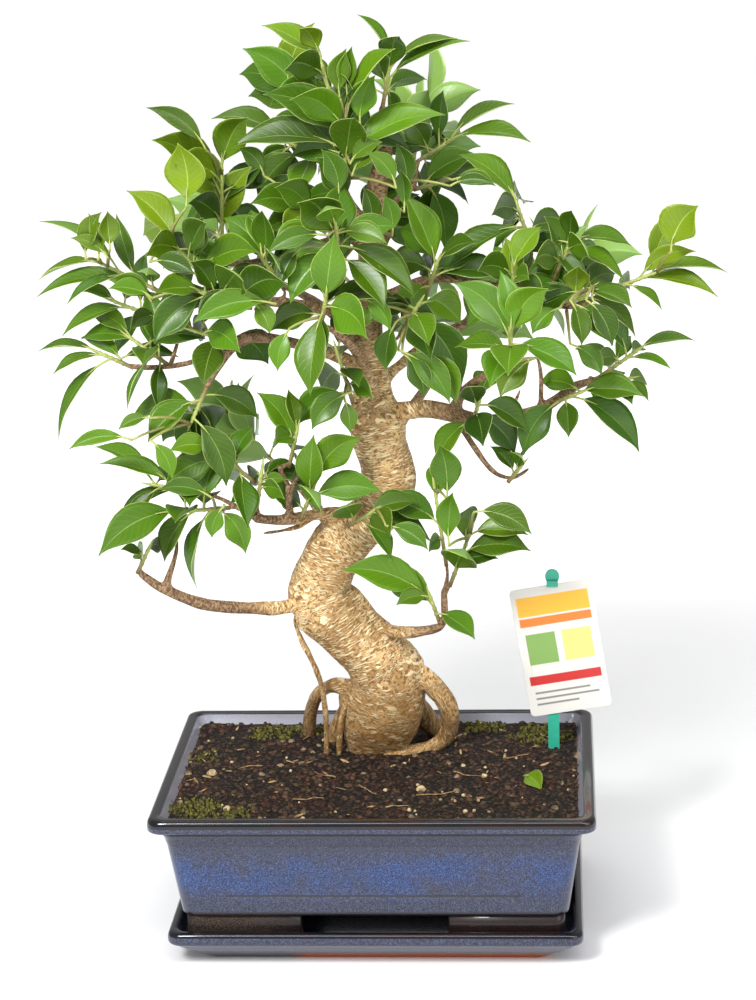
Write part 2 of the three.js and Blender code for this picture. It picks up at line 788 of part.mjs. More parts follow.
function makePot() {
  const rimLow = pot.rimTop - pot.rimBand;
  const skirtFoot = inset(pot.skirt, pot.skirtDraft);
  const [flareShare, flareRise] = pot.flareMiddle;
  const ledge = pot.bevel / 2;
  let body = loft([
    roundedRing(skirtFoot, pot.innerCorner, saucer.floorTop),
    roundedRing(pot.skirt, pot.innerCorner, pot.bodyFootZ),
    roundedRing(pot.bodyFoot, pot.corner, pot.bodyFootZ + ledge),
    roundedRing(pot.flareStart, pot.corner, pot.flareZ),
    roundedRing(between(pot.flareStart, pot.underRim, flareShare), pot.corner, pot.flareZ + flareRise),
    roundedRing(pot.underRim, pot.corner, rimLow),
    roundedRing(inset(pot.rim, pot.bevel / 2), pot.corner, rimLow + ledge),
    roundedRing(pot.rim, pot.corner, rimLow + pot.bevel),
    roundedRing(pot.rim, pot.corner, pot.rimTop - pot.bevel),
    roundedRing(inset(pot.rim, pot.bevel), pot.corner, pot.rimTop),
  ]);
  body = body.subtract(loft([
    roundedRing(hollowSize(pot.floorTop), pot.innerCorner, pot.floorTop),
    roundedRing(hollowSize(rimLow), pot.innerCorner, rimLow),
    roundedRing(hollowSize(pot.rimTop), pot.innerCorner, pot.rimTop),
    roundedRing(hollowSize(pot.rimTop), pot.innerCorner, pot.rimTop + past),
  ]));
  body = body.subtract(loft([
    roundedRing(inset(skirtFoot, pot.skirtWall[0]), pot.innerCorner, saucer.floorTop - past),
    roundedRing(inset(pot.skirt, pot.skirtWall[1]), pot.innerCorner, pot.floorUnder),
  ]));
  const reach = pot.rim[0];
  const [archFront, archSide] = [pot.frontArch / 2, pot.sideArch / 2];
  body = body.subtract(box([-archFront, -reach, 0], [archFront, reach, pot.archTop]));
  body = body.subtract(box([-reach, -archSide, 0], [reach, archSide, pot.archTop]));
  for (const sign of [-1, 1]) {
    body = body.subtract(panelCutter(0, sign)).subtract(panelCutter(1, sign));
    const [low, high] = [pot.floorUnder - past, pot.floorTop + past];
    body = body.subtract(roundBar(sign * drain.x, 0, drain.radius, low, high));
  }
  return body;
}

// Square of plastic mesh over a drain hole.
function makeScreen(x) {
  const half = drain.screen / 2;
  const low = pot.floorTop;
  let screen = box([x - half, -half, low], [x + half, half, low + drain.screenThickness]);
  const cells = [-0.5, 0.5].map((step) => step * drain.pitch);
  const cell = drain.hole / 2;
  for (const across of cells) {
    for (const along of cells) {
      const [cx, cy] = [x + across, along];
      screen = screen.subtract(box([cx - cell, cy - cell, low - past], [cx + cell, cy + cell, low + past]));
    }
  }
  return screen;
}

// Soil body before the sockets are cut: the pot's hollow, with an uneven mounded top.
function makeSoil() {
  const random = randomSource(soil.seed);
  const side = (z) => inset(hollowSize(z), soil.room);
  const rimLow = pot.rimTop - pot.rimBand;
  const rings = [
    roundedRing(side(pot.floorTop + gap), pot.innerCorner, pot.floorTop + gap),
    roundedRing(side(rimLow), pot.innerCorner, rimLow),
    roundedRing(side(soil.top), pot.innerCorner, soil.top),
  ];
  for (const share of soil.rings) {
    const size = side(soil.top).map((value) => value * share);
    rings.push(roundedRing(size, pot.innerCorner, 0).map((point) => {
      const bump = (random() - 0.5) * 2 * soil.bump;
      return vec(point.x, point.y, soil.top + soil.mound * (1 - share) + bump);
    }));
  }
  rings.push([vec(0, 0, soil.top + soil.mound)]);
  return loft(rings);
}

// Trunk section with shallow flutes that wander round it as it rises.
function makeTrunk() {
  const points = trunk.stations.map(([x, y, z]) => vec(x, y, z));
  const radii = trunk.stations.map((station) => station[3]);
  const flutes = (angle, index) => 1 + trunk.flute * Math.cos(3 * angle + index * 0.7)
    + 0.5 * trunk.flute * Math.cos(5 * angle - index * 0.9);
  return tube(points, radii, trunk.sides, flutes);
}

function limbTube({ route, radius }, sides, extra = 0) {
  const points = route.map((point) => vec(...point));
  return tube(points, taper(route, radius).map((value) => value + extra), sides);
}

// Nearest point of any limb to a shoot's foot. A point above the foot counts as further away.
function nearestOnLimbs(foot) {
  const routes = Object.values(limbs).filter((limb) => !limb.bare).map((limb) => limb.route);
  routes.push(trunk.stations.filter(([, , z]) => z > twig.fromHeight).map(([x, y, z]) => [x, y, z]));
  let best = null;
  let bestCost = Infinity;
  for (const route of routes) {
    for (let index = 1; index < route.length; index += 1) {
      const reach = index === route.length - 1 ? twig.lastShare : 1;
      for (let step = 0; step <= twig.steps; step += 1) {
        const point = vec(...between(route[index - 1], route[index], reach * step / twig.steps));
        const cost = point.distanceTo(foot) + twig.risePenalty * Math.max(point.z - foot.z, 0);
        if (cost < bestCost) {
          bestCost = cost;
          best = point;
        }
      }
    }
  }
  return best;
}

// Woody twig from the nearest limb to the foot of a shoot, arriving in the shoot's direction.
// It starts at a point inside the limb.
function makeTwig({ from, to }) {
  const foot = vec(...from);
  const heading = vec(...to).sub(foot).normalize();
  const start = nearestOnLimbs(foot);
  const reach = start.distanceTo(foot);
  const knee = foot.clone().addScaledVector(heading, -Math.min(reach * 0.4, twig.knee));
  const collar = start.clone().lerp(knee, Math.min(twig.collar / reach, 0.6));
  const thick = twig.radius + twig.thickening * reach;
  const points = [start, collar, knee, foot];
  const radii = [0, thick, twig.end, twig.end];
  if (reach < twig.short) {
    points.splice(2, 1);
    radii.splice(2, 1);
  }
  return tube(points, radii, twig.sides, () => 1, heading);
}

const rootSides = ({ radius }) => (radius[0] > 4 ? 6 : 4);

function makeWood() {
  let wood = makeTrunk();
  for (const root of Object.values(roots)) wood = wood.add(limbTube(root, rootSides(root)));
  for (const limb of Object.values(limbs)) wood = wood.add(limbTube(limb, limb.radius[0] > 3 ? 5 : 3));
  for (const shoot of Object.values({ ...shoots, ...sprays })) wood = wood.add(makeTwig(shoot));
  return wood;
}

// What the trunk and roots leave in the soil: the same forms with a little room.
function woodSocket() {
  const foot = trunk.stations.slice(0, trunk.footStations);
  const points = foot.map(([x, y, z]) => vec(x, y, z));
  points[0].z -= socketRoom;
  const radii = foot.map((station) => station[3] * (1 + 1.5 * trunk.flute) + socketRoom);
  let socket = tube(points, radii, trunk.sides);
  for (const { route, radius } of Object.values(roots)) {
    const last = vec(...route.at(-1));
    const tail = last.clone().sub(vec(...route.at(-2))).setLength(socketRoom).add(last);
    const grown = { route: [...route, tail.toArray()], radius };
    socket = socket.add(limbTube(grown, rootSides(grown), socketRoom));
  }
  return socket;
}

function makeStake(room = 0) {
  const [width, depth] = label.stake;
  const [, cardHeight, thickness] = label.card;
  const top = label.centre[2] + cardHeight / 2 + label.aboveCard;
  const back = label.centre[1] + thickness / 2 + gap;
  const [left, right] = [label.stakeX - width / 2 - room, label.stakeX + width / 2 + room];
  if (room > 0) return box([left, back - room, label.stakeFoot - room], [right, back + depth + room, top]);
  const cardFront = label.centre[1] - thickness / 2 - gap;
  const lipFront = cardFront - label.lipThickness;
  const lipTop = top + label.lipThickness;
  let stake = box([left, back, label.stakeFoot], [right, back + depth, lipTop + past]);
  stake = stake.add(box([left, lipFront, top], [right, back + depth, lipTop]));
  stake = stake.add(box([left, lipFront, top - label.lip], [right, cardFront, lipTop]));
  const knobZ = lipTop + label.knobRadius / 2;
  const knobY = back + label.knobThickness / 2;
  const ring = (y) => Array.from({ length: label.knobSides }, (_, index) => {
    const angle = 2 * Math.PI * index / label.knobSides;
    const [across, rise] = [label.knobRadius * Math.cos(angle), label.knobRadius * Math.sin(angle)];
    return vec(label.stakeX + across, y, knobZ - rise);
  });
  return stake.add(loft([ring(knobY - label.knobThickness / 2), ring(knobY + label.knobThickness / 2)]));
}

// Card turned a little about the view axis, as it hangs from the stake's lip.
function makeCard() {
  const [width, height, thickness] = label.card;
  const flat = box([-width / 2, -thickness / 2, -height / 2], [width / 2, thickness / 2, height / 2]);
  return flat.rotate([0, -label.turn, 0]).translate(label.centre);
}

// One leaf: a three-sided stalk from the shoot's middle, and an arched blade with a keel below.
function leafForm(base, heading, lean, length, seen, facing, room = 0) {
  const [h, l] = [radians(heading), radians(lean)];
  const along = vec(Math.cos(l) * Math.cos(h), -Math.sin(l), Math.cos(l) * Math.sin(h));
  const tip = base.clone().addScaledVector(along, length);
  const slim = Math.max(blade.width - blade.slimming * Math.max(length - blade.slimFrom, 0), blade.slimmest);
  const share = Math.max(slim, seen);
  const turned = Math.acos(Math.min(seen / share, 1));
  const square = (vector) => vector.clone().addScaledVector(along, -vector.dot(along));
  let toViewer = square(facing);
  if (toViewer.length() < 0.2) toViewer = square(up);
  toViewer.normalize();
  const aside = along.clone().cross(toViewer);
  if (aside.z < 0) aside.negate();
  const normal = toViewer.multiplyScalar(Math.cos(turned)).addScaledVector(aside, Math.sin(turned));
  let lift = square(up);
  if (lift.length() < 0.35) lift = normal.clone();
  lift.setLength(blade.arch * length);
  const bend = base.clone().lerp(tip, 0.5).addScaledVector(lift, 2);
  const curve = new THREE.QuadraticBezierCurve3(base, bend, tip);
  const halfWidth = share * length * 0.5;
  const frame = (t) => {
    const point = curve.getPoint(t);
    const ahead = curve.getTangent(t);
    const face = normal.clone().addScaledVector(ahead, -normal.dot(ahead)).normalize();
    return { point, face, side: face.clone().cross(ahead) };
  };
  const section = (t, reach, depth) => {
    const { point, face, side } = frame(t);
    return [
      point.clone().addScaledVector(side, reach),
      point.clone().addScaledVector(side, -reach),
      point.clone().addScaledVector(face, -depth),
    ];
  };
  const stalk = blade.stalkRadius + room / 2;
  const neck = blade.neck / (2 * bend.distanceTo(base));
  const root = base.clone().addScaledVector(along, -blade.sunk);
  const rings = room > 0 ? [section(blade.free, stalk, stalk)] : [[root], section(neck, stalk, stalk)];
  for (const [place, width] of blade.stations) {
    rings.push(section(place, halfWidth * width + room, blade.thickness + room));
  }
  return loft([...rings, [frame(1).point]]);
}

// Everything placed so far, with its box, for the test of what crosses what.
const placed = [];

function boxesMeet(a, b) {
  return [0, 1, 2].every((axis) => a.min[axis] < b.max[axis] && b.min[axis] < a.max[axis]);
}

function isClear(form, owner) {
  const bounds = form.boundingBox();
  return placed.every((other) => {
    if (other.owner === owner && other.kind === 'stem') return true;
    if (!boxesMeet(bounds, other.bounds)) return true;
    return form.intersect(other.form).isEmpty();
  });
}

function keep(form, owner, kind) {
  placed.push({ form, owner, kind, bounds: form.boundingBox() });
}

// Green stem: starts clear of the twig's flat end and ends in a bud.
function makeStem({ from, to }) {
  const [foot, head] = [vec(...from), vec(...to)];
  const along = head.clone().sub(foot).normalize();
  const start = foot.clone().addScaledVector(along, gap);
  const end = head.clone().addScaledVector(along, stem.bud);
  return tube([start, head, end], [...stem.radius, 0], stem.sides);
}

// Wanted leaves of a shoot. Where a row leaves one to the rule, it leans out from the stem.
function wantedLeaves({ from, to, leaves }, random) {
  const along = vec(...to).sub(vec(...from));
  const stemHeading = THREE.MathUtils.radToDeg(Math.atan2(along.z, along.x));
  return leaves.map((leaf, index) => {
    const [turn, lean, size] = [random(), random(), random()];
    if (leaf !== byRule) return leaf;
    const side = index % 2 ? 1 : -1;
    return [stemHeading + side * (40 + 50 * turn), 80 * lean - 30, 40 + 12 * size];
  });
}

// Leaves of a spray, spiralling up its stem.
function spiralLeaves({ from, to, count }, random) {
  const along = vec(...to).sub(vec(...from)).normalize();
  const across = up.clone().cross(along).normalize();
  const over = along.clone().cross(across);
  return Array.from({ length: count }, (_, index) => {
    const turn = radians(index * spiral.turn + 30 * random());
    const spread = radians(spiral.spread * (1 - 0.5 * index / count) + 14 * random());
    const [short, long] = spiral.length;
    const length = short + (long - short) * random();
    const way = along.clone().multiplyScalar(Math.cos(spread))
      .addScaledVector(across, Math.sin(spread) * Math.cos(turn))
      .addScaledVector(over, Math.sin(spread) * Math.sin(turn));
    way.z -= spiral.droop;
    way.normalize();
    const heading = THREE.MathUtils.radToDeg(Math.atan2(way.z, way.x));
    const lean = THREE.MathUtils.radToDeg(Math.asin(-way.y));
    return [heading, lean, length];
  });
}

// Place on the stem of the leaf with this number, as a share of the stem's length.
const perch = (index, count) => (index + 0.8) / (count + 0.2);

function bendClear(owner, base, [heading, lean, length, seen = blade.seen], facing) {
  for (const shorter of bends.shorter) {
    for (const turn of bends.heading) {
      for (const tilt of bends.lean) {
        const pose = [base, heading + turn, lean + tilt, length * shorter, seen, facing];
        const roomy = leafForm(...pose, blade.room);
        if (isClear(roomy, owner)) {
          keep(roomy, owner, 'leaf');
          return leafForm(...pose);
        }
      }
    }
  }
  return null;
}

function addLeaves(name, body, shoot, wanted, facing) {
  const [foot, head] = [vec(...shoot.from), vec(...shoot.to)];
  let form = body;
  wanted.forEach((leaf, index) => {
    const base = foot.clone().lerp(head, perch(index, wanted.length));
    const grown = bendClear(name, base, leaf, facing);
    if (grown) form = form.add(grown);
  });
  return form;
}

const group = new THREE.Group();

function addNode(name, form, colour, roughness) {
  const mesh = form.getMesh();
  const geometry = new THREE.BufferGeometry();
  geometry.setAttribute('position', new THREE.BufferAttribute(mesh.vertProperties, 3));
  geometry.setIndex(new THREE.BufferAttribute(mesh.triVerts, 1));
  geometry.computeVertexNormals();
  const material = new THREE.MeshStandardMaterial({ color: colour, roughness, metalness: 0 });
  const node = new THREE.Mesh(geometry, material);
  node.name = name;
  group.add(node);
}

const wood = makeWood();
const stake = makeStake();
const card = makeCard();
const potForm = makePot();
const socket = woodSocket().add(makeStake(socketRoom));
const screens = { drain_screen_left: makeScreen(-drain.x), drain_screen_right: makeScreen(drain.x) };
let soilForm = makeSoil().subtract(socket);
for (const sign of [-1, 1]) {
  const half = drain.screen / 2 + gap;
  const top = pot.floorTop + drain.screenThickness + gap;
  soilForm = soilForm.subtract(box([sign * drain.x - half, -half, 0], [sign * drain.x + half, half, top]));
}

addNode('saucer', makeSaucer(), colours.glaze, 0.2);
addNode('pot', potForm, colours.glaze, 0.2);
for (const [name, form] of Object.entries(screens)) addNode(name, form, colours.mesh, 0.6);
addNode('soil', soilForm, colours.soil, 0.95);
addNode('trunk_and_branches', wood, colours.bark, 0.8);
addNode('label_stake', stake, colours.stake, 0.4);
addNode('label_card', card, colours.card, 0.35);

keep(wood, 'wood', 'wood');
keep(stake, 'label', 'label');
keep(card, 'label', 'label');
keep(potForm, 'pot', 'pot');
keep(soilForm, 'soil', 'soil');

// A form let down in small steps until it would touch the ground, and left a gap above it.
function settle(form, ground, step = 0.1) {
  let height = 0;
  while (form.translate([0, 0, height - step]).intersect(ground).isEmpty()) height -= step;
  return form.translate([0, 0, height + gap]);
}

const shedLeaf = leafForm(vec(...fallen.base), fallen.heading, fallen.lean, fallen.length, fallen.seen, up);
addNode('fallen_leaf', settle(shedLeaf, soilForm), colours.freshLeaf, 0.5);

const bodies = {};
for (const [name, shoot] of Object.entries({ ...shoots, ...sprays })) {
  bodies[name] = makeStem(shoot);
  keep(bodies[name], name, 'stem');
}

const random = randomSource(spiral.seed);
for (const [name, shoot] of Object.entries(shoots)) {
  const form = addLeaves(name, bodies[name], shoot, wantedLeaves(shoot, random), front);
  addNode(name, form, colours.leaf, 0.45);
}
for (const [name, spray] of Object.entries(sprays)) {
  const outward = vec(spray.from[0], spray.from[1] - trunk.stations[0][1], 0).normalize();
  const form = addLeaves(name, bodies[name], spray, spiralLeaves(spray, random), outward);
  addNode(name, form, colours.leaf, 0.45);
}

export default group;
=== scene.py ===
# %% [markdown]
# # A banyan bonsai in a blue glazed pot
# This lesson dresses a finished CAD model of a small fig tree. The tree has a swollen, twisted
# trunk, roots that loop over the soil, and about fifty sprigs of shiny leaves. It stands in a
# rectangular glazed pot on a saucer. The CAD model gives every size. Here each of its parts gets
# the shape and the finish that the eye sees, and nothing moves away from where the CAD put it.

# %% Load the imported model
import math

import bmesh
import bpy
import numpy as np
from mathutils import Matrix, Vector, noise


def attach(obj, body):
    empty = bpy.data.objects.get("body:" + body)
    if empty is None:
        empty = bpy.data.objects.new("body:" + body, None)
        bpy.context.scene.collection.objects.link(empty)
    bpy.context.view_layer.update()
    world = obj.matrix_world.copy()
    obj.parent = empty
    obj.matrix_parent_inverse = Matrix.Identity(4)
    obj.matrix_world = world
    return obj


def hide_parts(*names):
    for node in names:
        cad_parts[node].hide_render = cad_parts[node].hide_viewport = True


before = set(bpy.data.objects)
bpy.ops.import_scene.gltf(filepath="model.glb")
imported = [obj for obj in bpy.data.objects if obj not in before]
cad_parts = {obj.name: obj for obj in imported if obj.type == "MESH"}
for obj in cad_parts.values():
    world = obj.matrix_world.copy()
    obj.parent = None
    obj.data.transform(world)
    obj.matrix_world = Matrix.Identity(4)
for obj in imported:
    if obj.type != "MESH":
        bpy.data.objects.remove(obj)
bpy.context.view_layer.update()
MM = 0.001

# %% [markdown]
# ## The camera
# The camera stands where the photographer stood: in front, a little above the crown, looking
# slightly down. A long lens keeps the pot's edges almost parallel. The place and the three
# angles were worked out from the pot's corners, so the render can be laid over the picture.

# %% Camera
def viewing_frame(yaw, pitch, roll):
    """right, up and forward of a camera that looks along +Y when all three angles are zero"""
    yaw, pitch, roll = map(math.radians, (yaw, pitch, roll))
    forward = Vector((
        math.sin(yaw) * math.cos(pitch),
        math.cos(yaw) * math.cos(pitch),
        -math.sin(pitch),
    ))
    level = Vector((math.cos(yaw), -math.sin(yaw), 0))
    upright = level.cross(forward)
    right = level * math.cos(roll) + upright * math.sin(roll)
    up = upright * math.cos(roll) - level * math.sin(roll)
    return right, up, forward


def placed(name, data):
    """a new object in the scene"""
    item = bpy.data.objects.new(name, data)
    bpy.context.scene.collection.objects.link(item)
    return item


EYE = Vector((130.08, -1772.43, 775.95)) * MM
FOCAL_PIXELS = 2691
PHOTO = (756, 1000)
SENSOR = 36
right, up, forward = viewing_frame(-4.074, 14.952, -1.619)
camera_data = bpy.data.cameras.new("photo_camera")
camera_data.sensor_width = SENSOR
camera_data.lens = FOCAL_PIXELS * SENSOR / PHOTO[1]
camera = placed("photo_camera", camera_data)
camera.matrix_world = Matrix((*zip(right, up, -forward, EYE), (0, 0, 0, 1)))
bpy.context.scene.camera = camera


def seen_at(point):
    """the pixel of the photograph at which a point in metres is seen"""
    ray = Vector(point) - EYE
    depth = ray.dot(forward)
    across = PHOTO[0] / 2 + FOCAL_PIXELS * ray.dot(right) / depth
    down = PHOTO[1] / 2 - FOCAL_PIXELS * ray.dot(up) / depth
    return across, down


def spot_seen(across, down, depth):
    """the point in metres seen at a pixel, on the upright plane at a depth in millimetres"""
    ray = forward + right * ((across - PHOTO[0] / 2) / FOCAL_PIXELS)
    ray = ray + up * ((PHOTO[1] / 2 - down) / FOCAL_PIXELS)
    return EYE + ray * ((depth * MM - EYE.y) / ray.y)


print("lens in mm:", round(camera_data.lens, 1))

# %% [markdown]
# ## Helpers for finishes
# A finish is a small network of nodes round one shader. One helper adds a node with its settings
# and inputs, and each of the others is a short word for a node that is often needed, so that the
# finishes further down read like recipes. Colours are written as they look on a screen, from 0
# to 255, and are turned into the linear values Blender wants.

# %% Node helpers
def colour(red, green, blue):
    """screen colour to linear colour"""
    values = [channel / 255 for channel in (red, green, blue)]
    linear = [v / 12.92 if v <= 0.04045 else ((v + 0.055) / 1.055) ** 2.4 for v in values]
    return (*linear, 1)


class Nodes:
    """adds nodes to a tree; a method gives back its node's result"""

    def __init__(self, tree):
        self.tree = tree

    def plug(self, socket, value):
        """sets a socket to a value, or joins it to another socket"""
        if isinstance(value, bpy.types.NodeSocket):
            self.tree.links.new(value, socket)
        else:
            socket.default_value = value

    def add(self, kind, inputs, result=0, **settings):
        """a new node with its settings made and its inputs plugged"""
        node = self.tree.nodes.new(kind)
        for name, value in settings.items():
            setattr(node, name, value)
        for name, value in inputs.items():
            self.plug(node.inputs[name], value)
        return node.outputs[result]

    def calculate(self, operation, *values):
        """a sum, product or other operation on numbers"""
        return self.add("ShaderNodeMath", dict(enumerate(values)), operation=operation)

    def plus(self, first, second):
        return self.calculate("ADD", first, second)

    def minus(self, first, second):
        return self.calculate("SUBTRACT", first, second)

    def times(self, first, second):
        return self.calculate("MULTIPLY", first, second)

    def split(self, vector):
        """the three numbers of a vector"""
        return self.add("ShaderNodeSeparateXYZ", {0: vector}, slice(3))

    def step(self, value, low, high):
        """0 below low, 1 above high, smooth between; low may be the larger one"""
        inputs = {"Value": value, "From Min": low, "From Max": high}
        return self.add("ShaderNodeMapRange", inputs, interpolation_type="SMOOTHSTEP")

    def blend(self, share, first, second):
        """first where share is 0, second where it is 1; tuples are screen colours"""
        first, second = (colour(*c) if isinstance(c, tuple) else c for c in (first, second))
        return self.add("ShaderNodeMix", {0: share, 6: first, 7: second}, 2, data_type="RGBA")

    def read(self, name):
        """a named attribute of the piece, as a number"""
        return self.add("ShaderNodeAttribute", {}, "Fac", attribute_name=name)

    def place(self, source="Object", scale=(1, 1, 1)):
        """texture coordinates of the piece, stretched by scale"""
        spot = self.add("ShaderNodeTexCoord", {}, source)
        return self.add("ShaderNodeMapping", {"Vector": spot, "Scale": scale})

    def grain(self, vector, scale, detail=2.0, roughness=0.5, fourth=None):
        """cloudy noise from 0 to 1; it can also change with a fourth number"""
        inputs = {"Vector": vector, "Scale": scale, "Detail": detail, "Roughness": roughness}
        if fourth is None:
            return self.add("ShaderNodeTexNoise", inputs)
        return self.add("ShaderNodeTexNoise", {**inputs, "W": fourth}, noise_dimensions="4D")

    def cells(self, vector, scale):
        """distance to the nearest of scattered points"""
        return self.add("ShaderNodeTexVoronoi", {"Vector": vector, "Scale": scale})


class Finish(Nodes):
    """a finish in the making: a material with one shader"""

    def __init__(self, name, roughness, specular=0.5, coat=0, coat_roughness=0.1):
        self.material = bpy.data.materials.new(name)
        self.material.use_nodes = True
        super().__init__(self.material.node_tree)
        self.set("Roughness", roughness)
        self.set("Specular IOR Level", specular)
        self.set("Coat Weight", coat)
        self.set("Coat Roughness", coat_roughness)

    def set(self, name, value):
        """sets or joins one of the shader's inputs"""
        self.plug(self.tree.nodes["Principled BSDF"].inputs[name], value)

    def finished(self, tint, height, distance, strength):
        """the material, once it has its colour and small bumps of a height in metres"""
        self.set("Base Color", tint)
        bumps = {"Height": height, "Distance": distance, "Strength": strength}
        self.set("Normal", self.add("ShaderNodeBump", bumps))
        return self.material


# %% [markdown]
# ## Helpers for shapes
# Most shapes below are worked out as lists of points and faces. The rest join rows of points
# into sheets and closed tubes.

# %% Shape helpers
def new_piece(name, points, faces, finishes, face_finish=None, smooth=True):
    """a mesh object at the origin, made from points in metres"""
    mesh = bpy.data.meshes.new(name)
    mesh.from_pydata([tuple(p) for p in points], [], [tuple(f) for f in faces])
    for finish in finishes:
        mesh.materials.append(finish)
    if face_finish is not None:
        mesh.polygons.foreach_set("material_index", face_finish)
    mesh.polygons.foreach_set("use_smooth", [smooth] * len(mesh.polygons))
    mesh.update()
    return placed(name, mesh)


def write_attribute(piece, name, values):
    """one number for each point of a piece"""
    layer = piece.data.attributes.new(name, "FLOAT", "POINT")
    layer.data.foreach_set("value", np.asarray(values, dtype=np.float32))


def finish_piece(piece, slot, *nodes):
    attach(piece, "root")
    if nodes:
        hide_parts(*nodes)
    triangles = sum(len(face.vertices) - 2 for face in piece.data.polygons)
    print(f"{piece.name}: {len(piece.data.vertices)} points, {triangles} triangles")


def points_of(mesh):
    """all points of a mesh as rows of three numbers"""
    return np.array([vertex.co[:] for vertex in mesh.vertices])


def baked(holder):
    """the smooth mesh that an object's modifiers make; the object itself goes"""
    view = bpy.context.evaluated_depsgraph_get()
    mesh = bpy.data.meshes.new_from_object(holder.evaluated_get(view))
    bpy.data.objects.remove(holder)
    mesh.polygons.foreach_set("use_smooth", [True] * len(mesh.polygons))
    return mesh


def face_outwards(piece):
    """turns all faces of a closed piece outwards"""
    work = bmesh.new()
    work.from_mesh(piece.data)
    bmesh.ops.recalc_face_normals(work, faces=work.faces)
    work.to_mesh(piece.data)
    work.free()


def unit(vector):
    """a direction of length 1"""
    return vector / np.linalg.norm(vector)


def inset(size, by):
    """a size made smaller all round"""
    return size[0] - 2 * by, size[1] - 2 * by


def between(first, second, share):
    """values part of the way from first to second"""
    return tuple(a + (b - a) * share for a, b in zip(first, second))


def corner_ring(size, corner, z, straight, per_corner):
    """rounded rectangle, counter-clockwise from above, with steps along its straight sides"""
    arcs = []
    for quarter, (side_x, side_y) in enumerate(((1, 1), (-1, 1), (-1, -1), (1, -1))):
        turns = [(quarter + step / (per_corner - 1)) * math.pi / 2 for step in range(per_corner)]
        arcs.append([(
            side_x * (size[0] / 2 - corner) + corner * math.cos(turn),
            side_y * (size[1] / 2 - corner) + corner * math.sin(turn),
            z,
        ) for turn in turns])
    ring = []
    for quarter, arc in enumerate(arcs):
        extra = straight[quarter % 2]
        ring += arc
        following = arcs[(quarter + 1) % 4][0]
        ring += [between(arc[-1], following, step / extra) for step in range(1, extra)]
    return ring


def sheet_faces(count, rows, first=0, closed=False):
    """faces between rows of equally many points; closed joins each row's end to its start"""
    faces = []
    for low in range(first, first + (rows - 1) * count, count):
        for index in range(count if closed else count - 1):
            one, two = low + index, low + (index + 1) % count
            faces.append((one, two, two + count, one + count))
    return faces


def rim_of(count, rows):
    """the outer points of a sheet, once round"""
    rim = list(range(count))
    rim += [row * count + count - 1 for row in range(1, rows)]
    rim += [(rows - 1) * count + column for column in reversed(range(count - 1))]
    return rim + [row * count for row in reversed(range(1, rows - 1))]


def skin(rings, first=0):
    """points and faces of a tube through rings of equal count, closed at both ends"""
    count = len(rings[0])
    last = first + (len(rings) - 1) * count
    faces = sheet_faces(count, len(rings), first, closed=True)
    faces += [tuple(reversed(range(first, first + count))), tuple(range(last, last + count))]
    return [point for ring in rings for point in ring], faces


# %% [markdown]
# ## The blue glaze
# The pot is stoneware under a thick blue glaze. A glaze runs while it melts, so it is thin and
# dark brown on sharp edges and deep and bright where it pools on the walls. It is also full of
# lighter specks. The finish mixes a dark and a light blue with noise at several scales, darkens
# the edges with an attribute called "edge", and puts a clear coat on top for the wet shine. The
# same dark colour is painted shade on the pot's feet and in the groove under the flare, where
# "edge" is high too. An attribute called "inside" paints a pale reflection on the inner walls.

# %% Glaze finish
def make_glaze():
    """speckled blue glaze; attributes: edge (thin dark glaze; painted shade on feet and groove),
    inside (painted pale reflection), clay, mud
    """
    paint = Finish("glaze_on_clay", 0.2, 0.35, coat_roughness=0.05)
    spot = paint.place()
    clouds = paint.grain(spot, 24, detail=4, roughness=0.6)
    runs = paint.grain(paint.place(scale=(1, 1, 0.35)), 60, detail=3)
    specks = paint.grain(spot, 1250, detail=4, roughness=0.75)
    flecks = paint.grain(paint.place(scale=(1.1, 1, 1)), 1500, detail=2, roughness=0.6)
    height = paint.plus(paint.split(spot)[2], paint.times(runs, 0.02))
    belly = paint.times(paint.step(height, 0.054, 0.074), paint.step(height, 0.096, 0.080))
    pooled = paint.times(belly, paint.step(clouds, 0.34, 0.60))
    light = paint.blend(pooled, (74, 80, 106), (62, 92, 150))
    deep = paint.blend(pooled, (34, 36, 52), (20, 34, 74))
    glazed = paint.blend(paint.step(specks, 0.49, 0.57), deep, light)
    bright = paint.times(paint.step(flecks, 0.60, 0.68), 0.5)
    glazed = paint.blend(bright, glazed, (96, 112, 150))
    pits = paint.times(paint.step(specks, 0.45, 0.38), 0.6)
    glazed = paint.blend(pits, glazed, (22, 16, 26))
    # painted reflection: the inner walls get a pale grey in place of the glaze's blue
    pale = paint.blend(specks, (120, 122, 138), (178, 178, 190))
    glazed = paint.blend(paint.read("inside"), glazed, pale)
    # the dark of thin glaze; where "edge" is high on the feet and in the groove it is painted shade
    dark = paint.blend(paint.step(clouds, 0.42, 0.6), (8, 10, 18), (24, 12, 16))
    thin = paint.plus(paint.read("edge"), paint.times(specks, 0.3))
    glazed = paint.blend(paint.step(thin, 0.46, 0.92), glazed, dark)
    clay, mud = paint.read("clay"), paint.read("mud")
    glazed = paint.blend(clay, glazed, paint.blend(specks, (164, 70, 26), (198, 98, 48)))
    muddy = paint.times(mud, paint.step(specks, 0.48, 0.60))
    glazed = paint.blend(muddy, glazed, paint.blend(flecks, (44, 30, 20), (112, 84, 54)))
    bare = paint.calculate("MAXIMUM", clay, mud)
    paint.set("Roughness", paint.calculate("MULTIPLY_ADD", bare, 0.6, 0.2))
    paint.set("Coat Weight", paint.calculate("MULTIPLY_ADD", bare, -0.45, 0.45))
    return paint.finished(glazed, clouds, 0.0006, 0.3)


blue_glaze = make_glaze()
print("finish made:", blue_glaze.name)

# %% [markdown]
# ## The saucer
# The saucer is a shallow tray with a rolled band round its rim. It could be cut from a block,
# but a tray is really one profile carried round a rounded rectangle. So the profile is listed
# once, as a size and a height for each ring, from the foot up, over the band and down to the
# floor inside. The band's corners are rounded by short steps. At the front, part of the foot is
# bare red clay, marked by an attribute.

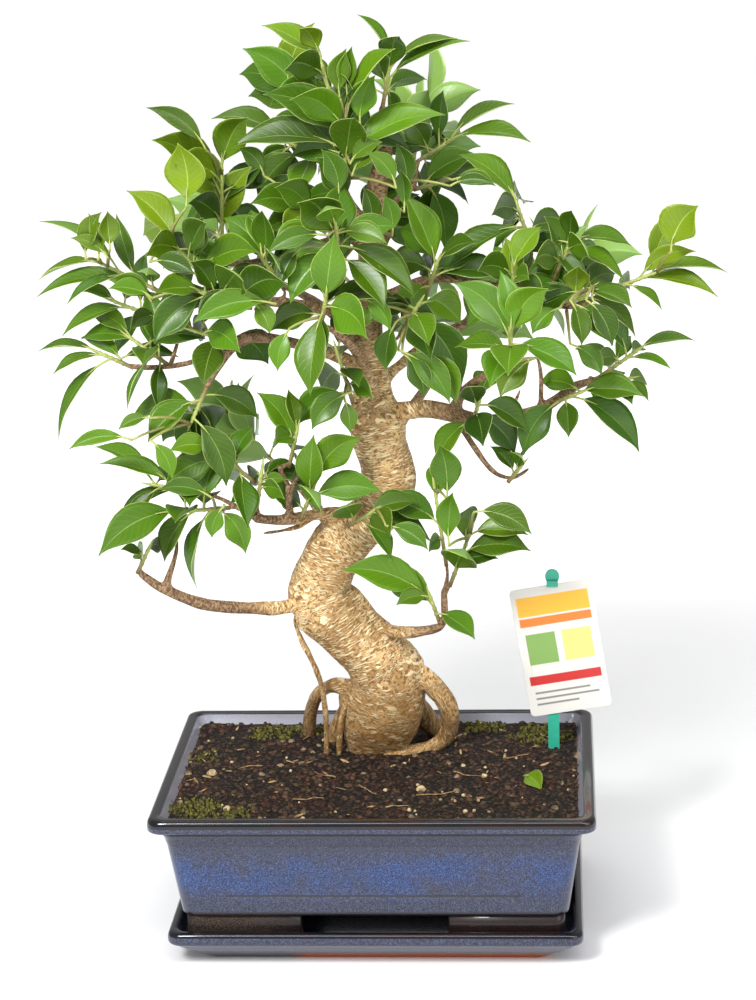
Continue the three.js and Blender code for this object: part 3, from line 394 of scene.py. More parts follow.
# %% Saucer
SAUCER_FOOT = (238, 165)
SAUCER_RIM = (282, 207)
SAUCER_HEIGHT = 26
SAUCER_FLOOR = 13
CLAY_FROM, CLAY_TO = -62, 118
SAUCER_BAND = [
    (5.6, 13.6, 0.15), (4.6, 15.2, 0.3), (2.2, 16.6, 0.5), (0.6, 17.7, 0.35), (0, 19.2, 0.05),
    (0, 22.4, 0.1), (0.4, 24.1, 0.9), (1.2, 25.4, 1.0), (2.3, SAUCER_HEIGHT, 0.9),
    (5.2, SAUCER_HEIGHT, 0.6), (6.6, 25.3, 0.75), (7.1, 23.4, 0.3), (8.4, 18.5, 0),
    (11.5, 14.4, 0.1), (15, SAUCER_FLOOR, 0.2), (60, SAUCER_FLOOR, 0.1),
]


def saucer_rings():
    """rings of the saucer and, for each, how thin the glaze lies there"""
    slope = between(SAUCER_FOOT, inset(SAUCER_RIM, 5), 0.5)
    profile = [(inset(SAUCER_FOOT, 1.2), 0, 0.9), (SAUCER_FOOT, 1.0, 1.0), (slope, 7.2, 0.45)]
    profile += [(inset(SAUCER_RIM, by), z, thin) for by, z, thin in SAUCER_BAND]
    rings = [corner_ring(size, 9, z, straight=(14, 10), per_corner=9) for size, z, _ in profile]
    return rings, [thin for _, _, thin in profile]


rings, thinness = saucer_rings()
points, faces = skin(rings)
saucer = new_piece("glazed_saucer", np.array(points) * MM, faces, [blue_glaze])
write_attribute(saucer, "edge", np.repeat(thinness, len(rings[0])))
bare_front = [float(z < 5 and y < -70 and CLAY_FROM < x < CLAY_TO) for x, y, z in points]
write_attribute(saucer, "clay", bare_front)
finish_piece(saucer, "blue_glaze", "saucer")

# %% [markdown]
# ## The pot
# The pot's wall leans outwards, flares under a thick rim, and carries a sunk panel on each side.
# The wall is a stack of rings with many points along its straight sides. Points that lie within
# a panel step back a little, with a soft shoulder, as in a slip-cast pot.

# %% Pot walls
POT_RIM = (300, 225)
UNDER_RIM = (288, 212)
FLARE_START = (277.5, 201.5)
BODY_FOOT = (263, 187)
WALL_LOW, WALL_HIGH = 37.2, 87
RIM_LOW, RIM_TOP = 101, 111
PANEL_LOW = 50
PANEL_DEPTH = 1.2
LONG_PANEL = (203, 214)
SHORT_PANEL = (126, 136)
WALL_STEPS = 26
SIDE_STEPS = (66, 46)


def smooth(value, low, high):
    """0 below low, 1 above high, smooth between"""
    share = min(max((value - low) / (high - low), 0), 1)
    return share * share * (3 - 2 * share)


def panel_mask(along, z, lengths):
    """1 inside the sunk panel, 0 outside, with a shoulder 2 mm wide"""
    share = (z - PANEL_LOW) / (WALL_HIGH - PANEL_LOW)
    half = (lengths[0] + (lengths[1] - lengths[0]) * share) / 2
    side = 1 - smooth(abs(along), half - 2, half)
    return side * smooth(z, 49, 51.5) * (1 - smooth(z, 85.2, 87.2))


def sink_panels(ring):
    """a wall ring with its panels pressed in, and how close each point is to a panel's edge"""
    half_x, half_y = (max(point[axis] for point in ring) for axis in (0, 1))
    sunk, shoulder = [], []
    for x, y, z in ring:
        depth = 0
        if abs(abs(y) - half_y) < 0.01:
            depth = panel_mask(x, z, LONG_PANEL)
            y -= math.copysign(PANEL_DEPTH * depth, y)
        elif abs(abs(x) - half_x) < 0.01:
            depth = panel_mask(y, z, SHORT_PANEL)
            x -= math.copysign(PANEL_DEPTH * depth, x)
        sunk.append((x, y, z))
        level_edge = z < 52 or z > 85
        shoulder.append(4 * depth * (1 - depth) * (1.0 if level_edge else 0.3))
    return sunk, shoulder


# %% [markdown]
# ## The pot's rings
# The shell is one closed skin: it starts under the floor, goes up the wall, over the flare and
# the rim, and down again inside. The lists give, for each ring, by how much it is smaller than
# the foot or the rim, its corner radius, its height and how thin the glaze lies. In the groove
# under the flare the high values of that last number are painted shade, a dark line where shade
# falls. In the flare the first number is instead how far the ring has come from the wall to the
# rim.

# %% Pot rings
UNDERSIDE = [(8, 7, 35, 0.6), (1.2, 10, 35.2, 0.8), (0.2, 10, 36.2, 1.0), (0, 10, WALL_LOW, 0.7)]
# the rings at 97.7 to 99.2 mm, with values near 1, paint a dark shade line in the groove
FLARE = [(0.12, 89.4, 0.5), (0.26, 92.2, 0.15), (0.42, 95.2, 0.05), (0.66, 97.2, 0.1),
         (0.70, 97.7, 0.8), (0.58, 98.4, 1.0), (0.64, 99.2, 1.0), (0.9, 99.7, 0.4),
         (0.96, 100.4, 0.2), (1, RIM_LOW, 1.0)]
RIM = [(1.6, 10, 101.3, 0.9), (0.4, 10, 102.2, 0.3), (0, 10, 103.2, 0.1), (0, 10, 105.2, 0.35),
       (0, 10, 106.4, 1.0), (0.2, 10, 108.2, 1.0), (0.9, 9.7, 109.8, 1.0),
       (2.1, 9.4, 110.8, 1.0), (3.2, 9, RIM_TOP, 1.0), (5.2, 8.6, RIM_TOP, 1.0),
       (7.8, 8, 110.7, 0.8)]
RIM_INSIDE = [(8.8, 7.5, 109.4, 0.3), (9.4, 7, 106.5, 0.1)]


def pot_rings():
    """all rings of the pot's shell, from under the floor up, over the rim and down inside"""
    rings, edge = [], []

    def add(size, corner, z, thin, panels=False):
        ring = corner_ring(size, corner, z, SIDE_STEPS, per_corner=9)
        shoulder = [0] * len(ring)
        if panels:
            ring, shoulder = sink_panels(ring)
        rings.append(ring)
        edge.extend([max(thin, 0.9 * value) for value in shoulder])

    for by, *rest in UNDERSIDE:
        add(inset(BODY_FOOT, by), *rest)
    for step in range(1, WALL_STEPS + 1):
        z = WALL_LOW + (WALL_HIGH - WALL_LOW) * step / WALL_STEPS
        size = between(BODY_FOOT, FLARE_START, (z - WALL_LOW) / (WALL_HIGH - WALL_LOW))
        add(size, 10, z, 0.35 * (1 - smooth(z, 38, 50)), panels=True)
    for share, z, thin in FLARE:
        add(between(FLARE_START, UNDER_RIM, share), 10, z, thin)
    for by, *rest in RIM:
        add(inset(POT_RIM, by), *rest)
    inner_from = len(edge)
    for by, *rest in RIM_INSIDE:
        add(inset(POT_RIM, by), *rest)
    add(inset(UNDER_RIM, 8), 7, RIM_LOW, 0)
    add(inset(BODY_FOOT, 7), 7, 44, 0)
    return rings, edge, inner_from


rings, edge, inner_from = pot_rings()
points, faces = skin(rings)
# marks the inner walls, which the glaze finish paints with a pale reflection
inside = [0.0] * inner_from + [1.0] * (len(points) - inner_from)
print("pot shell:", len(rings), "rings of", len(rings[0]))

# %% [markdown]
# ## The pot's feet
# Under the body a skirt stands on the saucer. It is cut away in the middle of each side, so
# that water drains and air gets in, and four corner feet remain. Each foot is a short wall that
# follows the rounded corner: a seven-point section carried along the corner's line.

# %% Pot feet
FOOT_TOP = 36.2
FOOT_WALL = 9.5
FOOT_HALF = (128.5, 90.5)
FOOT_CORNER = 7
ARCH_HALF = (50, 33)
MUD_FADE = (-74, -48)


def foot_line(side_x, side_y):
    """points of one corner foot's outer line, from the long side's arch to the short side's"""
    half_x, half_y = FOOT_HALF
    line = [(ARCH_HALF[0], half_y), (ARCH_HALF[0] + 1, half_y), (90, half_y)]
    for step in range(9):
        turn = math.pi / 2 * (1 - step / 8)
        line.append((
            half_x - FOOT_CORNER + FOOT_CORNER * math.cos(turn),
            half_y - FOOT_CORNER + FOOT_CORNER * math.sin(turn),
        ))
    line += [(half_x, 60), (half_x, ARCH_HALF[1] + 1), (half_x, ARCH_HALF[1])]
    return [(x * side_x, y * side_y) for x, y in line]


def make_foot(side_x, side_y, first):
    """points and faces of one foot, whose two ends are a little smaller all round"""
    line = foot_line(side_x, side_y)
    rings = []
    for index, (x, y) in enumerate(line):
        before = line[max(index - 1, 0)]
        after = line[min(index + 1, len(line) - 1)]
        ahead = Vector((after[0] - before[0], after[1] - before[1], 0)).normalized()
        inward = Vector((ahead.y, -ahead.x, 0))
        if inward.dot(Vector((x, y, 0))) > 0:
            inward = -inward
        squeeze = 0.8 if index in (0, len(line) - 1) else 0
        outer, inner = squeeze, FOOT_WALL - squeeze
        section = [
            (outer + 0.8, SAUCER_FLOOR + 0.3 + squeeze), (outer + 0.1, SAUCER_FLOOR + 1.2),
            (outer - 0.1, SAUCER_HEIGHT), (outer, FOOT_TOP - squeeze),
            (inner, FOOT_TOP - squeeze), (inner, SAUCER_FLOOR + 1.2),
            (FOOT_WALL - 0.8, SAUCER_FLOOR + 0.3),
        ]
        rings.append([(x + inward.x * go, y + inward.y * go, z) for go, z in section])
    if side_x * side_y < 0:
        rings.reverse()
    return skin(rings, first)


for side_x, side_y in ((1, 1), (-1, 1), (-1, -1), (1, -1)):
    foot_points, foot_faces = make_foot(side_x, side_y, len(points))
    points += foot_points
    faces += foot_faces
    # painted shade: the feet stand in the shadow under the body, so they get the darkest glaze
    edge += [1.0] * len(foot_points)
    inside += [0.0] * len(foot_points)
mud = []
for x, y, z in points:
    at_front_feet = z < FOOT_TOP + 0.1 and y < -80
    mud.append(0.3 + 0.6 * (1 - smooth(x, *MUD_FADE)) if at_front_feet else 0.0)
pot = new_piece("glazed_pot", np.array(points) * MM, faces, [blue_glaze])
write_attribute(pot, "edge", edge)
write_attribute(pot, "inside", inside)
write_attribute(pot, "mud", mud)
face_outwards(pot)
finish_piece(pot, "blue_glaze", "pot")

# %% [markdown]
# ## Drain screens
# Two squares of plastic mesh keep the soil in over the drain holes. Their CAD shape is right, so
# they stay, and only get the finish of a slightly scuffed dark plastic.

# %% Drain screen finish
def make_screen_plastic():
    """dark green-black plastic with a dusty bloom"""
    paint = Finish("screen_plastic", 0.5)
    dust = paint.grain(paint.place(), 300, detail=3)
    dusty = paint.blend(paint.step(dust, 0.4, 0.7), (24, 40, 34), (70, 66, 54))
    return paint.finished(dusty, dust, 0.0002, 0.4)


screen_plastic = make_screen_plastic()
for name in ("drain_screen_left", "drain_screen_right"):
    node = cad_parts[name]
    node.data.materials.clear()
    node.data.materials.append(screen_plastic)

# %% [markdown]
# ## Reading the leaves back from the CAD model
# In the CAD model a leaf is a slim body with a few triangular rings: two points at its margins
# and one at its keel. That is enough to know how each leaf lies. The helper merges the loose
# triangles of a sprig, finds every pointed tip, and walks back from it ring by ring. The middle
# of each ring's long side lies on the leaf's midrib, and its length is the leaf's width there.

# %% Leaf reader
RING_PLACES = (0.81, 0.56, 0.3)
KEEL = 1.2 * MM
KEEL_SLACK = 0.15 * MM
SAME_POINT = 2e-6


def merged(node, distance):
    """a CAD node's mesh once its loose triangles are joined at their corners"""
    work = bmesh.new()
    work.from_mesh(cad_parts[node].data)
    bmesh.ops.remove_doubles(work, verts=work.verts, dist=distance)
    return work


def ring_parts(spots, ring):
    """middle, half width, face direction and keel depth of a triangular ring"""
    trio = [spots[index] for index in ring]
    best = max(range(3), key=lambda i: (trio[i] - trio[(i + 1) % 3]).length)
    one, two, keel = trio[best], trio[(best + 1) % 3], trio[(best + 2) % 3]
    middle = (one + two) / 2
    rise = middle - keel
    return middle, (one - two).length / 2, rise.normalized(), rise.length


def leaf_from(tip, spots, near):
    """the leaf that ends in a pointed tip: its midrib, face and half width, or nothing"""
    known, layers, current = {tip}, [], {tip}
    for _ in RING_PLACES:
        current = set().union(*(near[index] for index in current)) - known
        known |= current
        layers.append(current)
    if any(len(layer) != 3 for layer in layers):
        return None
    parts = [ring_parts(spots, list(layer)) for layer in layers]
    if any(abs(part[3] - KEEL) > KEEL_SLACK for part in parts):
        return None
    places = np.array([1.0, *RING_PLACES])
    curve = np.array([spots[tip][:], *(part[0][:] for part in parts)])
    powers = np.stack([np.ones(4), places, places ** 2], axis=1)
    bend = np.linalg.lstsq(powers, curve, rcond=None)[0]
    face = sum((part[2] for part in parts), Vector()).normalized()
    return {"bend": bend, "face": np.array(face), "half": parts[1][1]}


def read_leaves(node):
    """the leaves of a CAD node, and all its points"""
    work = merged(node, SAME_POINT)
    spots = [vertex.co.copy() for vertex in work.verts]
    near = [{edge.other_vert(vertex).index for edge in vertex.link_edges} for vertex in work.verts]
    work.free()
    found = [leaf_from(tip, spots, near) for tip in range(len(spots))]
    return [leaf for leaf in found if leaf], np.array([spot[:] for spot in spots])


# %% [markdown]
# ## Reading the stems
# All leaves of a sprig start on its straight stem, so a line through their roots is the stem's
# line. Of the points close to that line, the outermost two are the stem's foot and the tip of
# its bud. The bud is pointed, so its tip lies nearer to the line.

# %% Stem reader
CLOSE_TO_STEM = 1.6 * MM
HALF_STEM = 90 * MM


def read_stem(leaves, spots):
    """foot and bud tip of the straight stem on which the leaves' midribs start"""
    starts = np.array([leaf["bend"][0] for leaf in leaves])
    middle = starts.mean(axis=0)
    along = np.linalg.svd(starts - middle)[2][0]
    reach = (spots - middle) @ along
    off = np.linalg.norm(spots - middle - reach[:, None] * along, axis=1)
    close = (off < CLOSE_TO_STEM) & (np.abs(reach) < HALF_STEM)
    low, high = reach[close].min(), reach[close].max()
    if off[close][reach[close].argmax()] > off[close][reach[close].argmin()]:
        low, high = high, low
    return middle + along * low, middle + along * high


sprigs = {}
fixed_nodes = {"saucer", "pot", "drain_screen_left", "drain_screen_right", "soil",
               "trunk_and_branches", "label_stake", "label_card", "fallen_leaf"}
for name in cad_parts:
    if name not in fixed_nodes:
        leaves, spots = read_leaves(name)
        sprigs[name] = (leaves, *read_stem(leaves, spots))
print("sprigs:", len(sprigs), "leaves:", sum(len(found[0]) for found in sprigs.values()))
print({name: len(found[0]) for name, found in sprigs.items()})

# %% [markdown]
# ## The leaf finish
# A banyan leaf is leathery and glossy. Young leaves are yellow-green, old ones deep green, and
# the underside is paler and duller. A thin light margin and a light midrib catch the eye, and
# faint side veins run off the midrib. The margin is partly the leaf's own pale edge and partly a
# painted highlight along it. The midrib and margin follow the leaf, so they are drawn on the
# leaf's own UV map. How old a leaf is comes from an attribute, so one finish serves all.

# %% Leaf finishes
def make_leaf_finish():
    """glossy fig leaf: attributes age and tone run from 0 to 1, attribute under is 1 below"""
    paint = Finish("leaf_blade", 0.36, 0.26, coat=0.12, coat_roughness=0.2)
    across, along, _ = paint.split(paint.place("UV"))
    off = paint.calculate("ABSOLUTE", paint.minus(across, 0.5))
    age = paint.read("age")
    patches = paint.grain(paint.place(), 55, detail=3)
    shade = paint.plus(paint.times(paint.read("tone"), 0.75), paint.times(patches, 0.3))
    mature = paint.blend(shade, (10, 42, 6), (80, 126, 14))
    young = paint.blend(patches, (98, 128, 8), (126, 148, 18))
    blade = paint.blend(age, young, mature)
    wave = paint.minus(paint.times(along, 62.0), paint.times(off, 34.0))
    veins = paint.step(paint.calculate("SINE", wave), 0.72, 1.0)
    pale = paint.blend(age, (196, 214, 110), (150, 184, 92))
    blade = paint.blend(paint.times(veins, 0.06), blade, pale)
    below = paint.blend(age, (170, 200, 90), (120, 158, 84))
    blade = paint.blend(paint.times(paint.read("under"), 0.8), blade, below)
    rib_width = paint.calculate("MULTIPLY_ADD", along, -0.008, 0.012)
    rib = paint.step(paint.minus(off, rib_width), 0.012, -0.004)
    blade = paint.blend(paint.times(rib, 0.4), blade, pale)
    # the pale margin is partly the leaf's own edge and partly a painted highlight along it
    margin = paint.times(paint.step(off, 0.478, 0.496), 0.55)
    blade = paint.blend(margin, blade, (206, 216, 130))
    height = paint.minus(paint.times(patches, 0.5), veins)
    return paint.finished(blade, height, 0.0003, 0.25)


def make_stem_finish():
    """green stem that browns where the attribute wood is high"""
    paint = Finish("green_stem", 0.45)
    streaks = paint.grain(paint.place(), 260, detail=2)
    fresh = paint.blend(streaks, (136, 152, 66), (184, 190, 108))
    brown = paint.blend(streaks, (92, 70, 44), (134, 108, 72))
    stem = paint.blend(paint.read("wood"), fresh, brown)
    return paint.finished(stem, streaks, 0.0002, 0.4)


leaf_finish = make_leaf_finish()
stem_finish = make_stem_finish()
print("finishes made:", leaf_finish.name, stem_finish.name)

# %% [markdown]
# ## A mesh of many leaves
# All leaves and stems of a sprig go into one mesh. Besides its place, each point carries four
# numbers that the finishes read: its leaf's age and tone, whether it lies on the underside, and
# how woody it is. Stems, stalks and roots are round tubes along a list of points.

# %% Leaf mesh
class LeafMesh:
    """gathers the leaves of one sprig into one mesh"""

    def __init__(self):
        self.points, self.faces, self.finishes, self.uv = [], [], [], []
        self.marks = {"age": [], "tone": [], "under": [], "wood": []}

    def add(self, points, faces, finish, uv, **marks):
        """adds points, faces that count from the first of them, and a mark or one for each"""
        start = len(self.points)
        self.points += points
        self.faces += [tuple(start + index for index in face) for face in faces]
        self.finishes += [finish] * len(faces)
        self.uv += uv
        for name, values in self.marks.items():
            values.extend(np.broadcast_to(marks[name], len(points)))

    def add_tube(self, centres, radii, sides, age, wood):
        """adds a round tube that is as woody at each centre as wood says"""
        points, faces = round_tube(centres, radii, sides)
        self.add(points, faces, 1, [(0.5, 0.0)] * len(points), age=age, tone=0.5, under=0.0,
                 wood=np.repeat(wood, sides))

    def piece(self, name):
        """the gathered mesh as a piece"""
        made = new_piece(name, self.points, self.faces, [leaf_finish, stem_finish], self.finishes)
        for mark, values in self.marks.items():
            write_attribute(made, mark, values)
        layer = made.data.uv_layers.new(name="leaf")
        corners = np.zeros(len(made.data.loops), dtype=np.int32)
        made.data.loops.foreach_get("vertex_index", corners)
        layer.data.foreach_set("uv", np.array(self.uv, dtype=np.float32)[corners].ravel())
        return made


def round_tube(centres, radii, sides):
    """points and faces of a closed round tube along a list of points"""
    centres = np.array(centres)
    turns = [2 * math.pi * step / sides for step in range(sides)]
    rings = []
    for centre, way, radius in zip(centres, np.gradient(centres, axis=0), radii):
        side = unit(np.cross(unit(way), np.array([0.31, 0.87, 0.38])))
        top = np.cross(unit(way), side)
        rings.append([centre + radius * (side * math.cos(t) + top * math.sin(t)) for t in turns])
    return skin(rings)


# %% [markdown]
# ## One leaf
# The blade is widest near its middle and runs out into a slender drip tip. Its two halves rise
# from the midrib like an open book, its margins ripple a little, and the stalk is a thin round
# tube. The blade has a real thickness, because a single sheet would look wrong from behind.

# %% Leaf builder
OUTLINE = [(0.0, 0.03), (0.05, 0.2), (0.12, 0.42), (0.21, 0.67), (0.31, 0.88), (0.41, 0.99),
           (0.5, 1.0), (0.59, 0.93), (0.68, 0.77), (0.76, 0.57), (0.83, 0.37), (0.89, 0.2),
           (0.945, 0.085), (1.0, 0.012)]
ACROSS = (-1, -0.72, -0.42, -0.1, 0, 0.1, 0.42, 0.72, 1)
BLADE_START = 0.13
HALF_THICK = 0.22 * MM
STALK_RADIUS = 0.72 * MM
STALK = [(0.0, 1.35), (0.3, 1.1), (0.6, 1.0), (0.85, 1.05), (1.0, 1.1), (1.35, 0.85), (2.2, 0.3)]


def on_curve(bend, t):
    """the point at t on a quadratic curve that runs from 0 to 1"""
    return bend[0] + bend[1] * t + bend[2] * t * t


def square_to(way, ahead):
    """the direction square to ahead that is nearest to way"""
    return unit(way - ahead * way.dot(ahead))


def add_leaf(mesh, bend, face, half, age, chance):
    """one leaf whose midrib is a quadratic curve from its root on the stem to its tip"""
    fold = chance.uniform(0.24, 0.55)
    ripple, phase = chance.uniform(0.02, 0.07), chance.uniform(0, 6.28)
    curl, twist = chance.uniform(0.0, 0.4), chance.uniform(-0.2, 0.2)
    plump = chance.uniform(0.92, 1.08)
    top, bottom, uv = [], [], []
    for share, width in OUTLINE:
        t = BLADE_START + (1 - BLADE_START) * share
        ahead = unit(bend[1] + 2 * bend[2] * t)
        normal = square_to(face, ahead)
        side = np.cross(normal, ahead)
        turn = twist * (share - 0.4)
        side, normal = (
            side * math.cos(turn) + normal * math.sin(turn),
            normal * math.cos(turn) - side * math.sin(turn),
        )
        reach = 0.83 * half * width ** plump
        thick = HALF_THICK * (0.45 + 0.55 * width)
        for u in ACROSS:
            wave = math.sin(9 * share + phase + (2 if u > 0 else 0))
            rise = fold * reach * (abs(u) ** 1.25 - 0.75)
            rise += ripple * half * u * u * width * wave
            rise -= curl * half * max(share - 0.55, 0) * 1.4
            spot = on_curve(bend, t) + side * u * reach * (1 - 0.12 * fold) + normal * rise
            top.append(spot + normal * thick)
            bottom.append(spot - normal * thick)
            uv.append((0.5 + u / 2, share))
    rows, columns = len(OUTLINE), len(ACROSS)
    low = rows * columns
    faces = []
    for a, b, c, d in sheet_faces(columns, rows):
        faces += [(a, d, c, b), (low + a, low + b, low + c, low + d)]
    rim = rim_of(columns, rows)
    faces += [(one, two, low + two, low + one) for one, two in zip(rim, rim[1:] + rim[:1])]
    mesh.add(top + bottom, faces, 0, uv + uv, age=age, under=np.repeat([0.0, 1.0], low), wood=0.0,
             tone=chance.uniform(0, 1))
    stalk = [on_curve(bend, BLADE_START * share) for share, _ in STALK]
    radii = [radius * STALK_RADIUS for _, radius in STALK]
    mesh.add_tube(stalk, radii, 6, age, [0.05] * len(STALK))


# %% [markdown]
# ## Stems and buds
# A stem is green near its bud and turns to brown bark towards its foot. It swells a little at
# each leaf, where an old sheath leaves a ring, and ends in a slim pointed bud.

# %% Stem builder
STEM_OVERLAP = 4.5 * MM
BUD_LENGTH = 9 * MM


def add_stem(mesh, root, bud, leaves):
    """a round stem with a swelling at each leaf and a pointed bud"""
    along = unit(bud - root)
    root = root - along * STEM_OVERLAP
    length = np.linalg.norm(bud - root)
    knots = [float((leaf["bend"][0] - root) @ along) for leaf in leaves]
    head = length - BUD_LENGTH
    stations = {*np.linspace(0, head, 9), head + 1.5 * MM, head + 4 * MM, head + 6.5 * MM, length}
    for knot in knots:
        stations |= {knot - 1.3 * MM, knot, knot + 1.3 * MM}
    stations = [s for s in sorted(stations) if 0 <= s <= length]
    centres, radii, wood = [], [], []
    for station in stations:
        share = station / length
        near_knot = min((abs(station - knot) for knot in knots), default=1)
        radius = 1.5 - 0.55 * share + 0.42 * max(0, 1 - near_knot / (1.4 * MM))
        if station > head:
            bud_share = (station - head) / (length - head)
            radius = 1.15 * (1 - bud_share) ** 0.8 + 0.05
        centres.append(root + along * station)
        radii.append(radius * MM)
        wood.append(max(0.0, 1 - 1.7 * share))
    mesh.add_tube(centres, radii, 8, 0.4, wood)


# %% [markdown]
# ## Dressing the sprigs
# Every sprig becomes one piece with its stem and leaves. Leaves near the bud are younger. A few
# whole sprigs and single leaves are much younger than the rest: they are found by where the
# camera sees them.

# %% Sprigs
YOUNG_SPOTS = [((307, 43), 22), ((182, 173), 30), ((682, 228), 24), ((668, 258), 30),
               ((148, 215), 34), ((300, 215), 16), ((580, 280), 20), ((228, 190), 24),
               ((520, 252), 18), ((690, 290), 20), ((246, 152), 18)]
SLIM_SPRIGS = {"far_left_top": 0.62, "far_left_low": 0.7, "left_arm_end": 0.62,
               "left_arm_mid": 0.75, "right_sprig": 0.7, "right_end": 0.75, "top_right": 0.72,
               "low_left_tip": 0.75, "right_arches": 0.8}


def leaf_age(bend, knot_share, chance):
    """age from 0 to 1: young near the bud and at the young spots of the picture"""
    age = 0.95 - 0.45 * max(knot_share - 0.45, 0) + chance.uniform(-0.16, 0.05)
    across, down = seen_at(on_curve(bend, 0.6))
    for spot, radius in YOUNG_SPOTS:
        far = math.hypot(across - spot[0], down - spot[1]) / radius
        if far < 1:
            age = min(age, 0.15 + 0.5 * far ** 2)
    return min(max(age, 0.0), 1.0)


for order, (name, (leaves, root, bud)) in enumerate(sprigs.items()):
    chance = np.random.default_rng(4100 + order)
    mesh = LeafMesh()
    length = np.linalg.norm(bud - root)
    for leaf in leaves:
        knot_share = float(np.linalg.norm(leaf["bend"][0] - root) / length)
        age = leaf_age(leaf["bend"], knot_share, chance)
        half = leaf["half"] * SLIM_SPRIGS.get(name, 1.0)
        add_leaf(mesh, leaf["bend"], leaf["face"], half, age, chance)
    add_stem(mesh, root, bud, leaves)
    finish_piece(mesh.piece(f"leaves_{name}"), "leaf", name)

# %% [markdown]
# ## Leaves between the sprigs
# A banyan also sprouts single leaves straight from its older stems, and they close the gaps in
# the crown. Each one is given by the pixel of its foot and of its tip, how deep it stands, how
# far its tip leans towards the viewer, its width and its age. A thin green shoot carries it from
# the nearest stem or branch, so that none hangs in the air.

# %% Single leaves
SINGLE_LEAVES = [
    ((348, 98), (352, 48), -8, -6, 0.42, 0.8), ((360, 126), (374, 78), -6, -12, 0.55, 0.9),
    ((186, 208), (177, 146), -6, -8, 0.7, 0.1), ((264, 176), (238, 148), 10, -8, 0.5, 0.9),
    ((344, 206), (316, 158), 0, -8, 0.55, 0.9), ((352, 176), (382, 146), -10, -8, 0.5, 0.7),
    ((406, 192), (396, 144), 10, -6, 0.45, 0.9), ((452, 180), (496, 186), 30, -6, 0.4, 0.8),
    ((326, 230), (272, 250), -44, -14, 0.5, 0.8), ((302, 248), (280, 288), -40, -10, 0.5, 0.9),
    ((150, 262), (194, 274), -32, -8, 0.45, 0.9), ((152, 302), (108, 280), -32, -8, 0.5, 0.8),
    ((244, 300), (196, 320), -32, -12, 0.6, 0.9), ((252, 302), (270, 334), -36, -8, 0.6, 0.7),
    ((290, 328), (278, 372), -42, -10, 0.5, 0.9), ((352, 392), (312, 430), -28, -12, 0.5, 0.9),
    ((344, 398), (350, 434), -24, -8, 0.5, 0.8), ((396, 322), (386, 372), -32, -8, 0.5, 0.9),
    ((402, 352), (424, 398), -36, -8, 0.5, 0.9), ((418, 352), (456, 404), -30, -10, 0.5, 0.8),
    ((560, 308), (532, 334), -8, -8, 0.6, 0.9), ((574, 304), (614, 346), -8, -8, 0.5, 0.9),
    ((592, 298), (600, 338), -2, -6, 0.5, 0.8), ((536, 358), (500, 398), -40, -10, 0.6, 0.6),
    ((570, 344), (602, 376), 4, -6, 0.5, 0.9), ((447, 500), (440, 448), -28, -12, 0.55, 0.9),
    ((449, 546), (452, 494), -28, -10, 0.45, 0.9), ((474, 512), (532, 534), -34, -10, 0.45, 0.8),
    ((386, 526), (428, 550), -38, -8, 0.45, 0.9), ((150, 440), (172, 480), -44, -6, 0.45, 0.8),
    ((224, 506), (212, 538), -44, -8, 0.6, 0.9), ((212, 498), (158, 490), -42, -8, 0.36, 0.9),
    ((152, 418), (118, 430), -42, -6, 0.4, 0.8), ((132, 440), (68, 450), -42, -4, 0.25, 0.8),
    ((108, 258), (70, 238), -30, -4, 0.35, 0.6), ((86, 260), (101, 212), -30, -6, 0.45, 0.6),
    ((671, 252), (697, 206), -8, -6, 0.82, 0.2), ((206, 150), (146, 108), 8, -6, 0.28, 0.8),
    ((340, 98), (346, 50), -8, -6, 0.5, 0.7), ((338, 198), (322, 150), -14, -6, 0.5, 0.9),
    ((350, 164), (382, 142), -12, -6, 0.45, 0.8), ((450, 186), (494, 184), 20, -6, 0.3, 0.9),
    ((328, 236), (266, 254), -52, -8, 0.34, 0.9), ((276, 304), (192, 324), -44, -10, 0.36, 0.9),
    ((398, 350), (450, 404), -38, -8, 0.4, 0.9), ((586, 300), (612, 346), -10, -8, 0.5, 0.9),
    ((570, 300), (582, 346), -14, -8, 0.5, 0.8), ((98, 260), (88, 214), -30, -4, 0.35, 0.6),
    ((110, 250), (108, 212), -34, -4, 0.6, 0.5), ((152, 298), (108, 288), -36, -6, 0.45, 0.9),
    ((372, 232), (364, 188), -18, -6, 0.45, 0.9), ((396, 188), (366, 152), -20, -6, 0.45, 0.85),
    ((392, 236), (384, 196), -14, -6, 0.45, 0.9), ((360, 296), (390, 332), -30, -8, 0.45, 0.9),
    ((384, 306), (356, 334), -26, -8, 0.4, 0.8), ((404, 212), (400, 170), -8, -6, 0.4, 0.9),
]
WIDER = 1.2
crown_points = [points_of(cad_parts["trunk_and_branches"].data)]
for _, root, bud in sprigs.values():
    crown_points.append(root + (bud - root) * np.linspace(0.05, 0.8, 9)[:, None])
crown_points = np.concatenate(crown_points)


def bend_between(foot, tip):
    """quadratic curve that arches a little upwards between a leaf's foot and tip"""
    span = tip - foot
    length = np.linalg.norm(span)
    ahead = span / length
    lift = np.array([0, 0, 1.0]) - ahead * ahead[2]
    lift /= max(np.linalg.norm(lift), 0.2)
    knee = (foot + tip) / 2 + lift * 0.28 * length
    return np.array([foot, 2 * (knee - foot), foot - 2 * knee + tip]), length


def add_shoot(mesh, foot):
    """thin green shoot from the nearest stem or branch to a leaf's foot; gives its length"""
    start = crown_points[np.linalg.norm(crown_points - foot, axis=1).argmin()]
    middle = (start + foot) / 2 + np.array([0, 0, 0.12 * np.linalg.norm(foot - start)])
    shares = np.linspace(0, 1, 7)[:, None]
    route = (1 - shares) ** 2 * start + 2 * shares * (1 - shares) * middle + shares ** 2 * foot
    wood = [0.8 - 0.1 * ring for ring in range(7)]
    mesh.add_tube(route, np.linspace(1.3, 0.8, 7) * MM, 6, 0.5, wood)
    return np.linalg.norm(foot - start)


